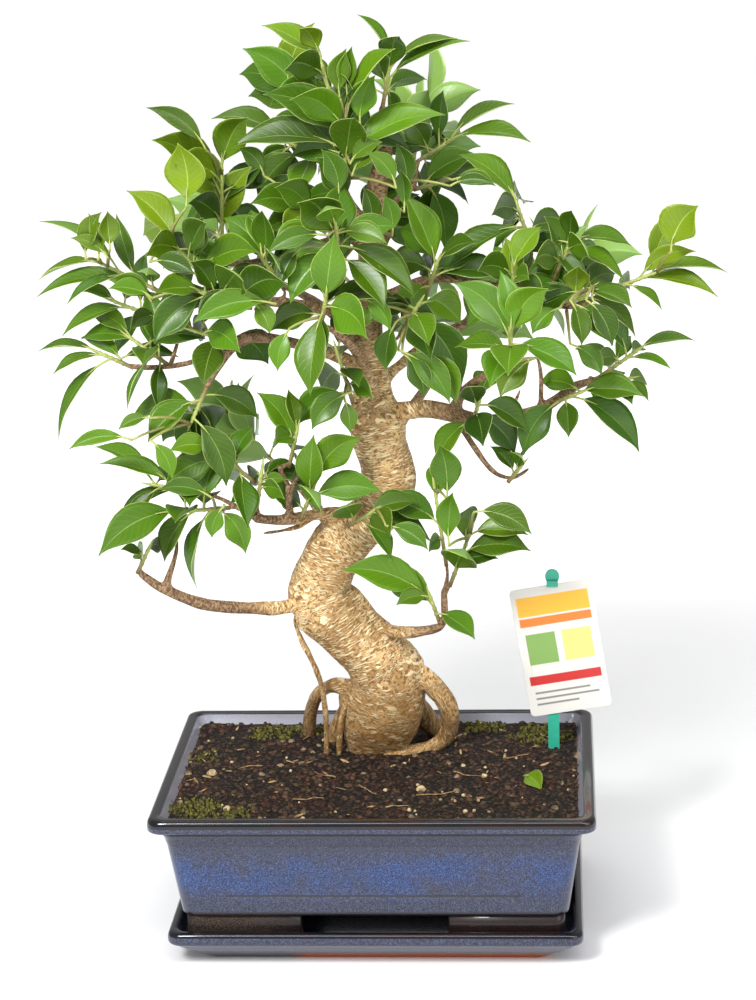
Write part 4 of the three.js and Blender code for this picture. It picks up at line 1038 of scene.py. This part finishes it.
mesh = LeafMesh()
chance = np.random.default_rng(515)
shoots = []
for foot_pixel, tip_pixel, depth, lean, share, age in SINGLE_LEAVES:
    foot = np.array(spot_seen(*foot_pixel, depth))
    tip = np.array(spot_seen(*tip_pixel, depth + lean))
    bend, length = bend_between(foot, tip)
    face = np.array([chance.uniform(-0.35, 0.35), -1.0, chance.uniform(0.0, 0.7)])
    face = square_to(face, (tip - foot) / length)
    add_leaf(mesh, bend, face, WIDER * share * length / 2, age, chance)
    shoots.append(add_shoot(mesh, foot))
finish_piece(mesh.piece("single_leaves"), "leaf")
print("longest carrying shoot in mm:", round(max(shoots) / MM, 1))

# %% [markdown]
# ## Leaves deep in the crown
# Behind the leaves that show fully, a crown holds many more, half hidden and in shade. They make
# it look dense. They sprout from the same stems and lean away from the viewer. Those that would
# show outside the thick parts of the crown are left out.

# %% Inner leaves
THICK_PARTS = [((330, 200), 95), ((225, 250), 72), ((420, 262), 66), ((505, 285), 62),
               ((305, 105), 55), ((150, 300), 42), ((190, 450), 44), ((590, 305), 42),
               ((285, 480), 34), ((400, 130), 50)]
TRIES = 8


def in_thick_part(point):
    """whether the camera sees a point inside a thick part of the crown"""
    across, down = seen_at(point)
    return any(math.hypot(across - x, down - y) < radius for (x, y), radius in THICK_PARTS)


mesh = LeafMesh()
chance = np.random.default_rng(929)
inner = 0
for leaves, root, bud in sprigs.values():
    for _ in range(TRIES):
        foot = root + (bud - root) * chance.uniform(0.05, 0.75)
        way = unit(chance.normal(size=3) + np.array([0, 0.9, -0.1]))
        tip = foot + way * chance.uniform(34, 50) * MM
        if way[1] < 0.1 or not (in_thick_part(tip) and in_thick_part((foot + tip) / 2)):
            continue
        bend, length = bend_between(foot, tip)
        face = np.array([chance.uniform(-0.6, 0.6), -0.8, chance.uniform(0.1, 1.0)])
        half = chance.uniform(0.42, 0.6) * length / 2
        add_leaf(mesh, bend, square_to(face, way), half, 0.95, chance)
        inner += 1
finish_piece(mesh.piece("inner_leaves"), "leaf")
print("inner leaves:", inner)

# %% [markdown]
# ## The fallen leaf
# One fresh leaf lies on the soil beside the label. It is read and rebuilt like the others.

# %% Fallen leaf
mesh = LeafMesh()
shed = read_leaves("fallen_leaf")[0][0]
add_leaf(mesh, shed["bend"], shed["face"], shed["half"], 0.45, np.random.default_rng(77))
finish_piece(mesh.piece("shed_leaf"), "leaf", "fallen_leaf")

# %% [markdown]
# ## The bark finish
# The trunk is golden tan and covered with lenticels: short cream dashes that lie square to the
# direction in which the wood grew. That direction turns with every bend of the trunk. So each
# point gets an attribute, "growth", which says how far along the wood it lies. A noise that
# changes quickly with growth and slowly in space gives dashes that wrap round trunk and limbs.

# %% Bark finish
def make_bark():
    """tan bark with cream dashes and painted shade low on the trunk; reads growth, in metres, and
    slender, 1 on thin twigs
    """
    paint = Finish("banyan_bark", 0.62, 0.35)
    spot = paint.place()
    growth, slender = paint.read("growth"), paint.read("slender")
    upward = paint.split(spot)[2]
    course = paint.plus(paint.times(growth, 5.0), paint.times(upward, 2.0))
    dashes = paint.grain(spot, 165, detail=1.5, roughness=0.5, fourth=course)
    fine = paint.grain(spot, 420, detail=3, roughness=0.6, fourth=paint.times(growth, 1.6))
    clouds = paint.grain(spot, 42, detail=4, roughness=0.6)
    thick = paint.blend(paint.step(clouds, 0.36, 0.64), (170, 132, 82), (218, 180, 124))
    thick = paint.blend(paint.step(fine, 0.56, 0.40), thick, (124, 92, 54))
    fewer = paint.minus(1.0, paint.times(slender, 0.7))
    dash = paint.times(paint.step(dashes, 0.53, 0.61), fewer)
    thick = paint.blend(dash, thick, (236, 216, 172))
    # painted shade: the bark is darker and browner low on the trunk and roots
    foot = paint.times(paint.step(upward, 0.19, 0.13), 0.55)
    thick = paint.blend(foot, thick, (120, 84, 34))
    thin = paint.blend(paint.step(fine, 0.4, 0.62), (92, 68, 46), (158, 128, 96))
    height = paint.plus(paint.times(dash, 0.6), fine)
    return paint.finished(paint.blend(slender, thick, thin), height, 0.0009, 0.7)


bark_finish = make_bark()
print("finish made:", bark_finish.name)

# %% [markdown]
# ## How far along the wood a point lies
# The bark needs to know how the wood grew. The trunk's middle is given as a line of places, each
# with the trunk's radius there, in millimetres. A point's growth is the length of line below it
# and its distance from the trunk's surface.

# %% Growth along the trunk
TRUNK_LINE = [
    (-10, 50, 84, 14), (-10, 49, 102, 16), (-8, 48, 110, 21), (-5, 46, 121, 26), (0, 43, 134, 30),
    (4, 40, 149, 29), (5, 36, 166, 26), (-7, 34, 183, 23), (-22, 33, 199, 22), (-37, 32, 215, 24),
    (-43, 32, 229, 23), (-35, 31, 246, 20), (-28, 30, 260, 20), (-15, 30, 272, 18),
    (0, 30, 283, 17), (9, 30, 296, 18), (11, 29, 309, 18), (7, 29, 324, 18), (4, 29, 337, 18),
    (2, 28, 351, 18), (0, 28, 367, 13), (-1, 28, 404, 10), (1, 28, 456, 8), (8, 26, 517, 6),
    (12, 25, 567, 2),
]


def along_trunk(points):
    """for each point: length of wood below it, and how far it stands off the trunk's surface"""
    line = np.array(TRUNK_LINE, dtype=float) * MM
    best = np.full(len(points), 1e9)
    length = np.zeros(len(points))
    beyond = np.zeros(len(points))
    walked = 0.0
    for start, end in zip(line[:-1], line[1:]):
        step = end[:3] - start[:3]
        size = np.linalg.norm(step)
        share = np.clip((points - start[:3]) @ step / size ** 2, 0, 1)
        away = np.linalg.norm(points - start[:3] - share[:, None] * step, axis=1)
        radius = start[3] + (end[3] - start[3]) * share
        closer = away - radius < best
        best = np.where(closer, away - radius, best)
        length = np.where(closer, walked + share * size, length)
        beyond = np.where(closer, np.maximum(away - radius, 0), beyond)
        walked += size
    return length, beyond


# %% [markdown]
# ## Trunk, roots and branches
# The CAD wood is a plain body with ten-sided limbs. A copy is merged, moved out a little to make
# up for the smoothing, and rounded with Subdivision Surface. Then low hollows and swellings are
# pressed into it with noise, because wood that grew round stones is never even. Twigs, and the
# thin top of the trunk, get darker and plainer bark than the thick wood.

# %% Trunk and branches
MERGE_WITHIN = 2e-5
TWIG_START, TWIG_FADE = 12 * MM, 26 * MM
TOP_START, TOP_FADE = 0.39, 0.05
ROOTS_BELOW = 0.2


def smooth_wood():
    """the CAD wood, merged, moved out and rounded by Subdivision Surface"""
    work = merged("trunk_and_branches", MERGE_WITHIN)
    bmesh.ops.dissolve_degenerate(work, dist=MERGE_WITHIN, edges=work.edges)
    work.normal_update()
    slim = [min(edge.calc_length() for edge in vertex.link_edges) < 3 * MM for vertex in work.verts]
    for vertex, is_slim in zip(work.verts, slim):
        vertex.co += vertex.normal * (0.55 if is_slim else 1.1) * MM
    mesh = bpy.data.meshes.new("wood_cage")
    work.to_mesh(mesh)
    work.free()
    cage = placed("wood_cage", mesh)
    rounder = cage.modifiers.new("round", "SUBSURF")
    rounder.levels = rounder.render_levels = 2
    return baked(cage)


wood_mesh = smooth_wood()
wood = placed("banyan_wood", wood_mesh)
wood_mesh.materials.clear()
wood_mesh.materials.append(bark_finish)
spots = points_of(wood_mesh)
growth, beyond = along_trunk(spots)
slender = np.clip((beyond - TWIG_START) / TWIG_FADE, 0, 1)
slender = np.where(spots[:, 2] < ROOTS_BELOW, slender * 0.6, slender)
slender = np.maximum(slender, 0.8 * np.clip((spots[:, 2] - TOP_START) / TOP_FADE, 0, 1))
outward = np.zeros(len(spots) * 3)
wood_mesh.vertex_normals.foreach_get("vector", outward)
outward = outward.reshape(-1, 3)
uneven = [noise.noise(Vector(s) * 60) * 1.3 + noise.noise(Vector(s) * 170) * 0.5 for s in spots]
spots += outward * (np.array(uneven) * MM * (1 - 0.75 * slender))[:, None]
wood_mesh.vertices.foreach_set("co", spots.ravel())
wood_mesh.update()
write_attribute(wood, "growth", growth + beyond)
write_attribute(wood, "slender", slender)
finish_piece(wood, "bark", "trunk_and_branches")

# %% [markdown]
# ## The soil
# Bonsai soil is a coarse mix: dark bark crumbs, a few white perlite grains, pale wood splinters,
# small stones, and moss where it stays damp. The ground under the loose grains is dark and
# crumbly, with reddish patches, and painted shade darkens the gaps between its crumbs.

# %% Soil finish
def make_soil_finish():
    """dark crumbly ground with red-brown patches and painted shade in the gaps between crumbs"""
    paint = Finish("potting_soil", 0.85, 0.25)
    spot = paint.place()
    crumbs = paint.cells(spot, 330)
    # painted shade: the ground is darker in the gaps between crumbs
    crumb_gap_shade = paint.step(crumbs, 0.15, 0.6)
    earth = paint.blend(crumb_gap_shade, (60, 46, 35), (20, 16, 13))
    red = paint.blend(crumb_gap_shade, (76, 46, 33), (28, 17, 13))
    patches = paint.step(paint.grain(spot, 34, detail=4), 0.50, 0.62)
    return paint.finished(paint.blend(patches, earth, red), crumbs, 0.0016, 0.9)


soil_finish = make_soil_finish()
print("finish made:", soil_finish.name)

# %% [markdown]
# ## The ground
# The soil's top is a little higher in the middle and uneven, like soil that was pressed in by
# hand. Under it the piece is a plain block that fills the pot. Its height comes from a rule, so
# that other things can be laid on it.

# %% Ground
SOIL_TOP = 103.5
SOIL_HALF = (140.3, 102.8)
SOIL_STEPS = (92, 70)
SOIL_CORNER = 7
SOIL_FOOT = 44.6
FOOT_SHARE = (0.885, 0.862)


def ground_height(x, y):
    """height of the soil at a place, in millimetres"""
    away = max(abs(x) / SOIL_HALF[0], abs(y) / SOIL_HALF[1])
    mound = 2.2 * (1 - away ** 2)
    lumps = 1.5 * noise.noise(Vector((x, y, 0)) * 0.055)
    lumps += 0.8 * noise.noise(Vector((x, y, 5)) * 0.16)
    return SOIL_TOP + mound + lumps * (1 - 0.5 * away ** 6)


def make_ground():
    """closed soil body: an uneven top over a plain block that fills the pot"""
    columns, rows = SOIL_STEPS
    inner_x, inner_y = (half - SOIL_CORNER for half in SOIL_HALF)
    points = []
    for row in range(rows + 1):
        for column in range(columns + 1):
            x = SOIL_HALF[0] * (2 * column / columns - 1)
            y = SOIL_HALF[1] * (2 * row / rows - 1)
            over_x, over_y = abs(x) - inner_x, abs(y) - inner_y
            if over_x > 0 and over_y > 0:
                shrink = max(over_x, over_y) / math.hypot(over_x, over_y)
                x = math.copysign(inner_x + over_x * shrink, x)
                y = math.copysign(inner_y + over_y * shrink, y)
            points.append((x, y, ground_height(x, y)))
    faces = sheet_faces(columns + 1, rows + 1)
    rim = rim_of(columns + 1, rows + 1)
    foot = len(points)
    for index in rim:
        x, y, _ = points[index]
        points.append((x * FOOT_SHARE[0], y * FOOT_SHARE[1], SOIL_FOOT))
    count = len(rim)
    for step in range(count):
        following = (step + 1) % count
        faces.append((rim[following], rim[step], foot + step, foot + following))
    faces.append(tuple(reversed(range(foot, foot + count))))
    return points, faces


points, faces = make_ground()
ground = new_piece("potting_soil", np.array(points) * MM, faces, [soil_finish])
finish_piece(ground, "soil", "soil")

# %% [markdown]
# ## Loose grains on the soil
# Hundreds of small things lie on the soil, so a Geometry Nodes tree scatters them. It takes the
# ground's top, drops points on it, puts a rough pebble on each with its own turn and size, and
# turns the result into plain faces. The same tree is used for every kind of grain: only its
# inputs change.

# %% Scatter tree
SCATTER_INPUTS = [
    ("Ground", "Geometry", None), ("Density", "Float", 1000.0), ("Grain size", "Float", 0.002),
    ("Longer", "Float", 1.0), ("Flatter", "Float", 1.0), ("Rough", "Float", 0.3),
    ("Lift", "Float", 0.0), ("Seed", "Int", 1), ("Finish", "Material", None),
]


def make_scatter_tree():
    """Geometry Nodes: rough grains on a surface; returns the tree and its inputs' identifiers"""
    tree = bpy.data.node_groups.new("scatter_grains", "GeometryNodeTree")
    ids = {}
    for name, kind, default in SCATTER_INPUTS:
        item = tree.interface.new_socket(name, in_out="INPUT", socket_type=f"NodeSocket{kind}")
        if default is not None:
            item.default_value = default
        ids[name] = item.identifier
    tree.interface.new_socket("Grains", in_out="OUTPUT", socket_type="NodeSocketGeometry")
    work = Nodes(tree)
    given = tree.nodes.new("NodeGroupInput").outputs
    seed = given["Seed"]
    patch = work.add("GeometryNodeInputNamedAttribute", {"Name": "patch"}, "Attribute",
                     data_type="FLOAT")
    density = work.times(given["Density"], patch)
    inputs = {"Mesh": given["Ground"], "Density": density, "Seed": seed}
    places = work.add("GeometryNodeDistributePointsOnFaces", inputs, "Points")
    ball = work.add("GeometryNodeMeshIcoSphere", {"Radius": 1.0, "Subdivisions": 2}, "Mesh")
    inputs = {0: given["Longer"], 1: 1.0, 2: given["Flatter"]}
    stretch = work.add("ShaderNodeCombineXYZ", inputs)
    pebble = work.add("GeometryNodeTransform", {"Geometry": ball, "Scale": stretch})
    inputs = {"Min": (-0.5, -0.5, 0), "Max": (0.5, 0.5, 6.28), "Seed": seed}
    turn = work.add("FunctionNodeRandomValue", inputs, data_type="FLOAT_VECTOR")
    inputs = {2: 0.45, 3: 1.3, "Seed": seed}
    size = work.add("FunctionNodeRandomValue", inputs, 1, data_type="FLOAT")
    size = work.times(size, given["Grain size"])
    inputs = {"Points": places, "Instance": pebble, "Rotation": turn, "Scale": size}
    copies = work.add("GeometryNodeInstanceOnPoints", inputs, "Instances")
    grains = work.add("GeometryNodeRealizeInstances", {"Geometry": copies})
    wobble = work.add("ShaderNodeTexNoise", {"Scale": 420}, "Color")
    inputs = {0: wobble, 1: (0.5, 0.5, 0.5)}
    wobble = work.add("ShaderNodeVectorMath", inputs, operation="SUBTRACT")
    strength = work.times(given["Rough"], given["Grain size"])
    wobble = work.add("ShaderNodeVectorMath", {0: wobble, "Scale": strength}, operation="SCALE")
    rise = work.add("ShaderNodeCombineXYZ", {2: given["Lift"]})
    shift = work.add("ShaderNodeVectorMath", {0: wobble, 1: rise}, operation="ADD")
    grains = work.add("GeometryNodeSetPosition", {"Geometry": grains, "Offset": shift})
    inputs = {"Geometry": grains, "Material": given["Finish"]}
    result = work.add("GeometryNodeSetMaterial", inputs)
    work.plug(tree.nodes.new("NodeGroupOutput").inputs[0], result)
    return tree, ids


scatter_tree, scatter_ids = make_scatter_tree()
print("scatter tree with", len(scatter_tree.nodes), "nodes")

# %% [markdown]
# ## Scattering one kind of grain
# The tree works on an open sheet, a copy of the ground's top. Each of its points carries a
# number from 0 to 1, which says how many of this kind of grain lie there.

# %% Scatter helpers
def ground_patch(mask):
    """open sheet of the soil's top with an attribute patch from 0 to 1"""
    columns, rows = SOIL_STEPS
    top = points_of(ground.data)[:(columns + 1) * (rows + 1)]
    sheet = new_piece("sheet", top, sheet_faces(columns + 1, rows + 1), [])
    write_attribute(sheet, "patch", [mask(x / MM, y / MM) for x, y, _ in top])
    return sheet


def scatter(name, finish, mask, **wanted):
    """runs the scatter tree and keeps its result as a plain piece"""
    sheet = ground_patch(mask)
    run = sheet.modifiers.new("scatter", "NODES")
    run.node_group = scatter_tree
    for key, value in wanted.items():
        run[scatter_ids[key.replace("_", " ")]] = value
    run[scatter_ids["Finish"]] = finish
    finish_piece(placed(name, baked(sheet)), "soil")


# %% [markdown]
# ## Grain finishes and the grains themselves
# Each kind of grain has a finish of its own. The moss is scattered too, as tight green beads
# that run together into cushions, only in the damp corners that the picture shows.

# %% Grains
def make_grain_finish(name, dark, light, scale, roughness=0.8):
    """two-tone grain finish"""
    paint = Finish(name, roughness, 0.3)
    spot = paint.place()
    share = paint.step(paint.grain(spot, scale, detail=3), 0.35, 0.65)
    return paint.finished(paint.blend(share, dark, light), paint.grain(spot, 900), 0.0003, 0.5)


def not_under_trunk(x, y):
    """0 where the trunk's foot stands, 1 elsewhere"""
    return 0.0 if math.hypot(x + 10, y - 50) < 15 else 1.0


def blot(x, y, spots):
    """1 near any of the spots (x, y, radius), fading to 0"""
    best = 0.0
    for spot_x, spot_y, radius in spots:
        far = math.hypot(x - spot_x, y - spot_y) / radius
        far += 0.35 * noise.noise(Vector((x, y, 0)) * 0.09)
        best = max(best, 1 - smooth(far, 0.6, 1.05))
    return best


MOSS_SPOTS = [(-122, -70, 22), (-96, -84, 16), (-84, 78, 20), (-60, 88, 16), (112, 72, 24),
              (70, 90, 18), (-128, 30, 12)]
crumb_finish = make_grain_finish("bark_crumbs", (24, 18, 14), (80, 60, 44), 260)
red_finish = make_grain_finish("red_bark", (42, 25, 19), (94, 60, 42), 240)
perlite_finish = make_grain_finish("perlite", (150, 130, 94), (206, 186, 146), 500)
stone_finish = make_grain_finish("grit", (84, 70, 54), (140, 120, 94), 300, 0.6)
splinter_finish = make_grain_finish("splinters", (122, 92, 60), (176, 146, 102), 300)
moss_finish = make_grain_finish("moss", (40, 42, 14), (104, 100, 36), 330)
scatter("bark_crumbs", crumb_finish, not_under_trunk, Density=26000.0, Grain_size=1.7 * MM,
        Longer=1.35, Flatter=0.7, Rough=1.1, Seed=3)
scatter("red_crumbs", red_finish, lambda x, y: 0.35 + blot(x, y, [(-70, -10, 60), (30, -60, 40)]),
        Density=4500.0, Grain_size=1.7 * MM, Longer=1.5, Flatter=0.6, Rough=1.0, Seed=5)
scatter("perlite_grains", perlite_finish, not_under_trunk, Density=900.0, Grain_size=1.25 * MM,
        Rough=0.6, Lift=0.0004, Seed=9)
scatter("pale_pebbles", perlite_finish, not_under_trunk, Density=150.0, Grain_size=3.0 * MM,
        Flatter=0.85, Rough=0.6, Lift=0.0004, Seed=31)
scatter("grit_stones", stone_finish, not_under_trunk, Density=1300.0, Grain_size=2.0 * MM,
        Longer=1.3, Flatter=0.7, Rough=0.7, Seed=12)
scatter("wood_splinters", splinter_finish, not_under_trunk, Density=1200.0,
        Grain_size=1.0 * MM, Longer=4.2, Flatter=0.5, Rough=0.6, Lift=0.0005, Seed=15)
scatter("moss_cushions", moss_finish, lambda x, y: blot(x, y, MOSS_SPOTS), Density=160000.0,
        Grain_size=1.1 * MM, Flatter=1.3, Rough=1.0, Lift=0.0006, Seed=21)

# %% [markdown]
# ## Fine roots on the soil
# A few thread-like roots lie bare on the soil. Each wanders over the ground from its start, and
# its height is read from the same rule as the ground's, so that it rests on it.

# %% Fine roots
ROOT_STARTS = [(28, -52, 0.2, 34), (-30, -18, 2.6, 26), (-84, 8, 2.9, 20), (52, -8, -0.5, 24),
               (-12, -34, -1.2, 22), (88, 22, 0.4, 22), (-56, -58, 0.3, 26), (8, -70, 0.1, 18)]
ROOT_POINTS = 14


def wandering_root(x, y, heading, length, chance):
    """points of a thin root that wanders over the soil"""
    route = []
    for _ in range(ROOT_POINTS):
        route.append((x, y, ground_height(x, y) + 0.9))
        heading += chance.normal(0, 0.22)
        x += math.cos(heading) * length / ROOT_POINTS
        y += math.sin(heading) * length / ROOT_POINTS
    return route


chance = np.random.default_rng(33)
radii = np.linspace(0.6, 0.25, ROOT_POINTS) * MM
points, faces = [], []
for start in ROOT_STARTS:
    route = np.array(wandering_root(*start, chance)) * MM
    tube_points, tube_faces = round_tube(route, radii, 5)
    faces += [tuple(len(points) + index for index in face) for face in tube_faces]
    points += tube_points
fine_roots = new_piece("fine_roots", points, faces, [splinter_finish])
finish_piece(fine_roots, "soil")

# %% [markdown]
# ## The plant label
# A plastic card hangs on a green stake. The stake keeps its CAD shape and only gets the finish
# of moulded plastic. The card's print is a plain layout of colour bands, drawn on its UV map.

# %% Label finishes
WHITE = (216, 214, 206)
GREY = (128, 126, 122)
BANDS = [
    ((0.06, 0.94), (0.78, 0.93), (238, 178, 52)), ((0.06, 0.94), (0.70, 0.765), (226, 122, 44)),
    ((0.10, 0.46), (0.40, 0.64), (124, 160, 84)), ((0.54, 0.90), (0.40, 0.64), (232, 204, 120)),
    ((0.06, 0.94), (0.24, 0.31), (190, 44, 40)), ((0.10, 0.78), (0.17, 0.185), GREY),
    ((0.10, 0.88), (0.125, 0.14), GREY), ((0.10, 0.62), (0.08, 0.095), GREY),
]


def make_label_print():
    """white card with bands of yellow, orange and red, and plain grey lines"""
    paint = Finish("label_print", 0.38)
    across, upward, _ = paint.split(paint.place("UV"))

    def band(value, low, high, blur):
        return paint.times(paint.step(value, low - blur, low + blur),
                           paint.step(value, high + blur, high - blur))

    printed = WHITE
    for sides, heights, tint in BANDS:
        share = paint.times(band(across, *sides, 0.006), band(upward, *heights, 0.004))
        printed = paint.blend(share, printed, tint)
    printed = paint.blend(paint.read("front"), WHITE, printed)
    return paint.finished(printed, paint.grain(paint.place(), 500), 0.0001, 0.3)


def make_stake_finish():
    """teal green moulded plastic"""
    paint = Finish("stake_plastic", 0.4)
    flow = paint.grain(paint.place(), 120, detail=3)
    teal = paint.blend(flow, (38, 150, 124), (60, 178, 150))
    return paint.finished(teal, flow, 0.0003, 0.3)


label_print = make_label_print()
stake_finish = make_stake_finish()
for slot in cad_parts["label_stake"].material_slots:
    slot.material = stake_finish
print("finishes made:", label_print.name, stake_finish.name)

# %% [markdown]
# ## The card
# The card is a rounded rectangle of real thickness with softened edges, bowed a little and
# turned like the CAD card. Its UV map is its own width and height, so the print lies straight
# on it. An attribute called "front" keeps the print off the back.

# %% Label card
CARD_SIZE = (58, 95)
CARD_THICK = 0.8
CARD_CENTRE = (127.3, 43.6, 180)
CARD_TURN = math.radians(9)


def make_card():
    """rounded card with a slight bow, turned with the CAD card"""
    width, height = CARD_SIZE
    outline = corner_ring(CARD_SIZE, 3, 0, straight=(6, 8), per_corner=6)
    rings = []
    for inner, level in ((6, 0.0), (0.15, 0.0), (0, 0.15), (0, 0.65), (0.15, 0.8), (6, 0.8)):
        shrink_x, shrink_y = (width - 2 * inner) / width, (height - 2 * inner) / height
        rings.append([(x * shrink_x, y * shrink_y, level - CARD_THICK / 2) for x, y, _ in outline])
    points, faces = skin(rings)
    turned, uv = [], []
    for x, y, level in points:
        bow = 0.9 * (y / (height / 2)) ** 2 - 0.5
        across = x * math.cos(CARD_TURN) - y * math.sin(CARD_TURN)
        rise = x * math.sin(CARD_TURN) + y * math.cos(CARD_TURN)
        turned.append((CARD_CENTRE[0] + across, CARD_CENTRE[1] - level - bow * 0.4,
                       CARD_CENTRE[2] + rise))
        uv.append((0.5 + x / width, 0.5 + y / height))
    return turned, faces, uv, [float(level > 0.2) for _, _, level in points]


points, faces, uv, front = make_card()
card = new_piece("printed_card", np.array(points) * MM, faces, [label_print], smooth=False)
write_attribute(card, "front", front)
layer = card.data.uv_layers.new(name="print")
for loop in card.data.loops:
    layer.data[loop.index].uv = uv[loop.vertex_index]
face_outwards(card)
finish_piece(card, "label_card", "label_card")

# %% [markdown]
# ## The floor
# The tree stands on white paper, as in a product picture. The paper glows a little where it is
# far from the pot, like a lit backdrop, so that only the shadow near the pot stays dark.

# %% Floor
def make_paper():
    """matt white paper that glows a little away from the pot, like a lit backdrop"""
    paint = Finish("white_paper", 0.9, 0.1)
    across, back, _ = paint.split(paint.place())
    reach = paint.plus(paint.calculate("POWER", across, 2.0), paint.calculate("POWER", back, 2.0))
    glow = paint.calculate("MULTIPLY_ADD", paint.step(reach, 0.04, 1.6), 0.56, 0.06)
    paint.set("Emission Strength", glow)
    paint.set("Emission Color", (1, 1, 1, 1))
    paint.set("Base Color", (0.85, 0.85, 0.86, 1))
    return paint.material


floor = new_piece("paper_floor", [(-6, -6, 0), (6, -6, 0), (6, 6, 0), (-6, 6, 0)], [(0, 1, 2, 3)],
                  [make_paper()], smooth=False)

# %% [markdown]
# ## The light
# Soft light comes from the upper left, with a long strip for a shine on the glaze and two weak
# lamps for the shaded sides. The white room round it all is brighter for the camera than it is
# as a light, so that shadows keep their depth.

# %% Light
world = bpy.data.worlds.new("white_room")
bpy.context.scene.world = world
world.use_nodes = True
room = Nodes(world.node_tree)
ray = room.add("ShaderNodeLightPath", {}, "Is Camera Ray")
background = room.tree.nodes["Background"].inputs
background["Color"].default_value = (1, 1, 1, 1)
room.plug(background["Strength"], room.calculate("MULTIPLY_ADD", ray, 0.60, 0.44))


def soft_light(name, place_at, aim, size, power, height=None):
    """a lamp that points at a place: square, or a strip of the given height"""
    lamp = bpy.data.lights.new(name, "AREA")
    lamp.size = size
    if height is not None:
        lamp.shape = "RECTANGLE"
        lamp.size_y = height
    lamp.energy = power
    holder = placed(name, lamp)
    holder.location = place_at
    holder.rotation_mode = "QUATERNION"
    holder.rotation_quaternion = (Vector(aim) - Vector(place_at)).to_track_quat("-Z", "Y")


soft_light("key", (-0.8, -1.7, 1.7), (0, 0, 0.3), 0.5, 46)
soft_light("strip", (0.1, -1.5, 1.9), (0, 0, 0.1), 2.8, 30, height=0.3)
soft_light("fill", (1.6, -1.2, 1.1), (0, 0, 0.3), 1.2, 10)
soft_light("top", (0.0, 0.6, 2.2), (0, 0, 0.2), 1.2, 12)
bpy.context.scene.view_settings.view_transform = "Standard"
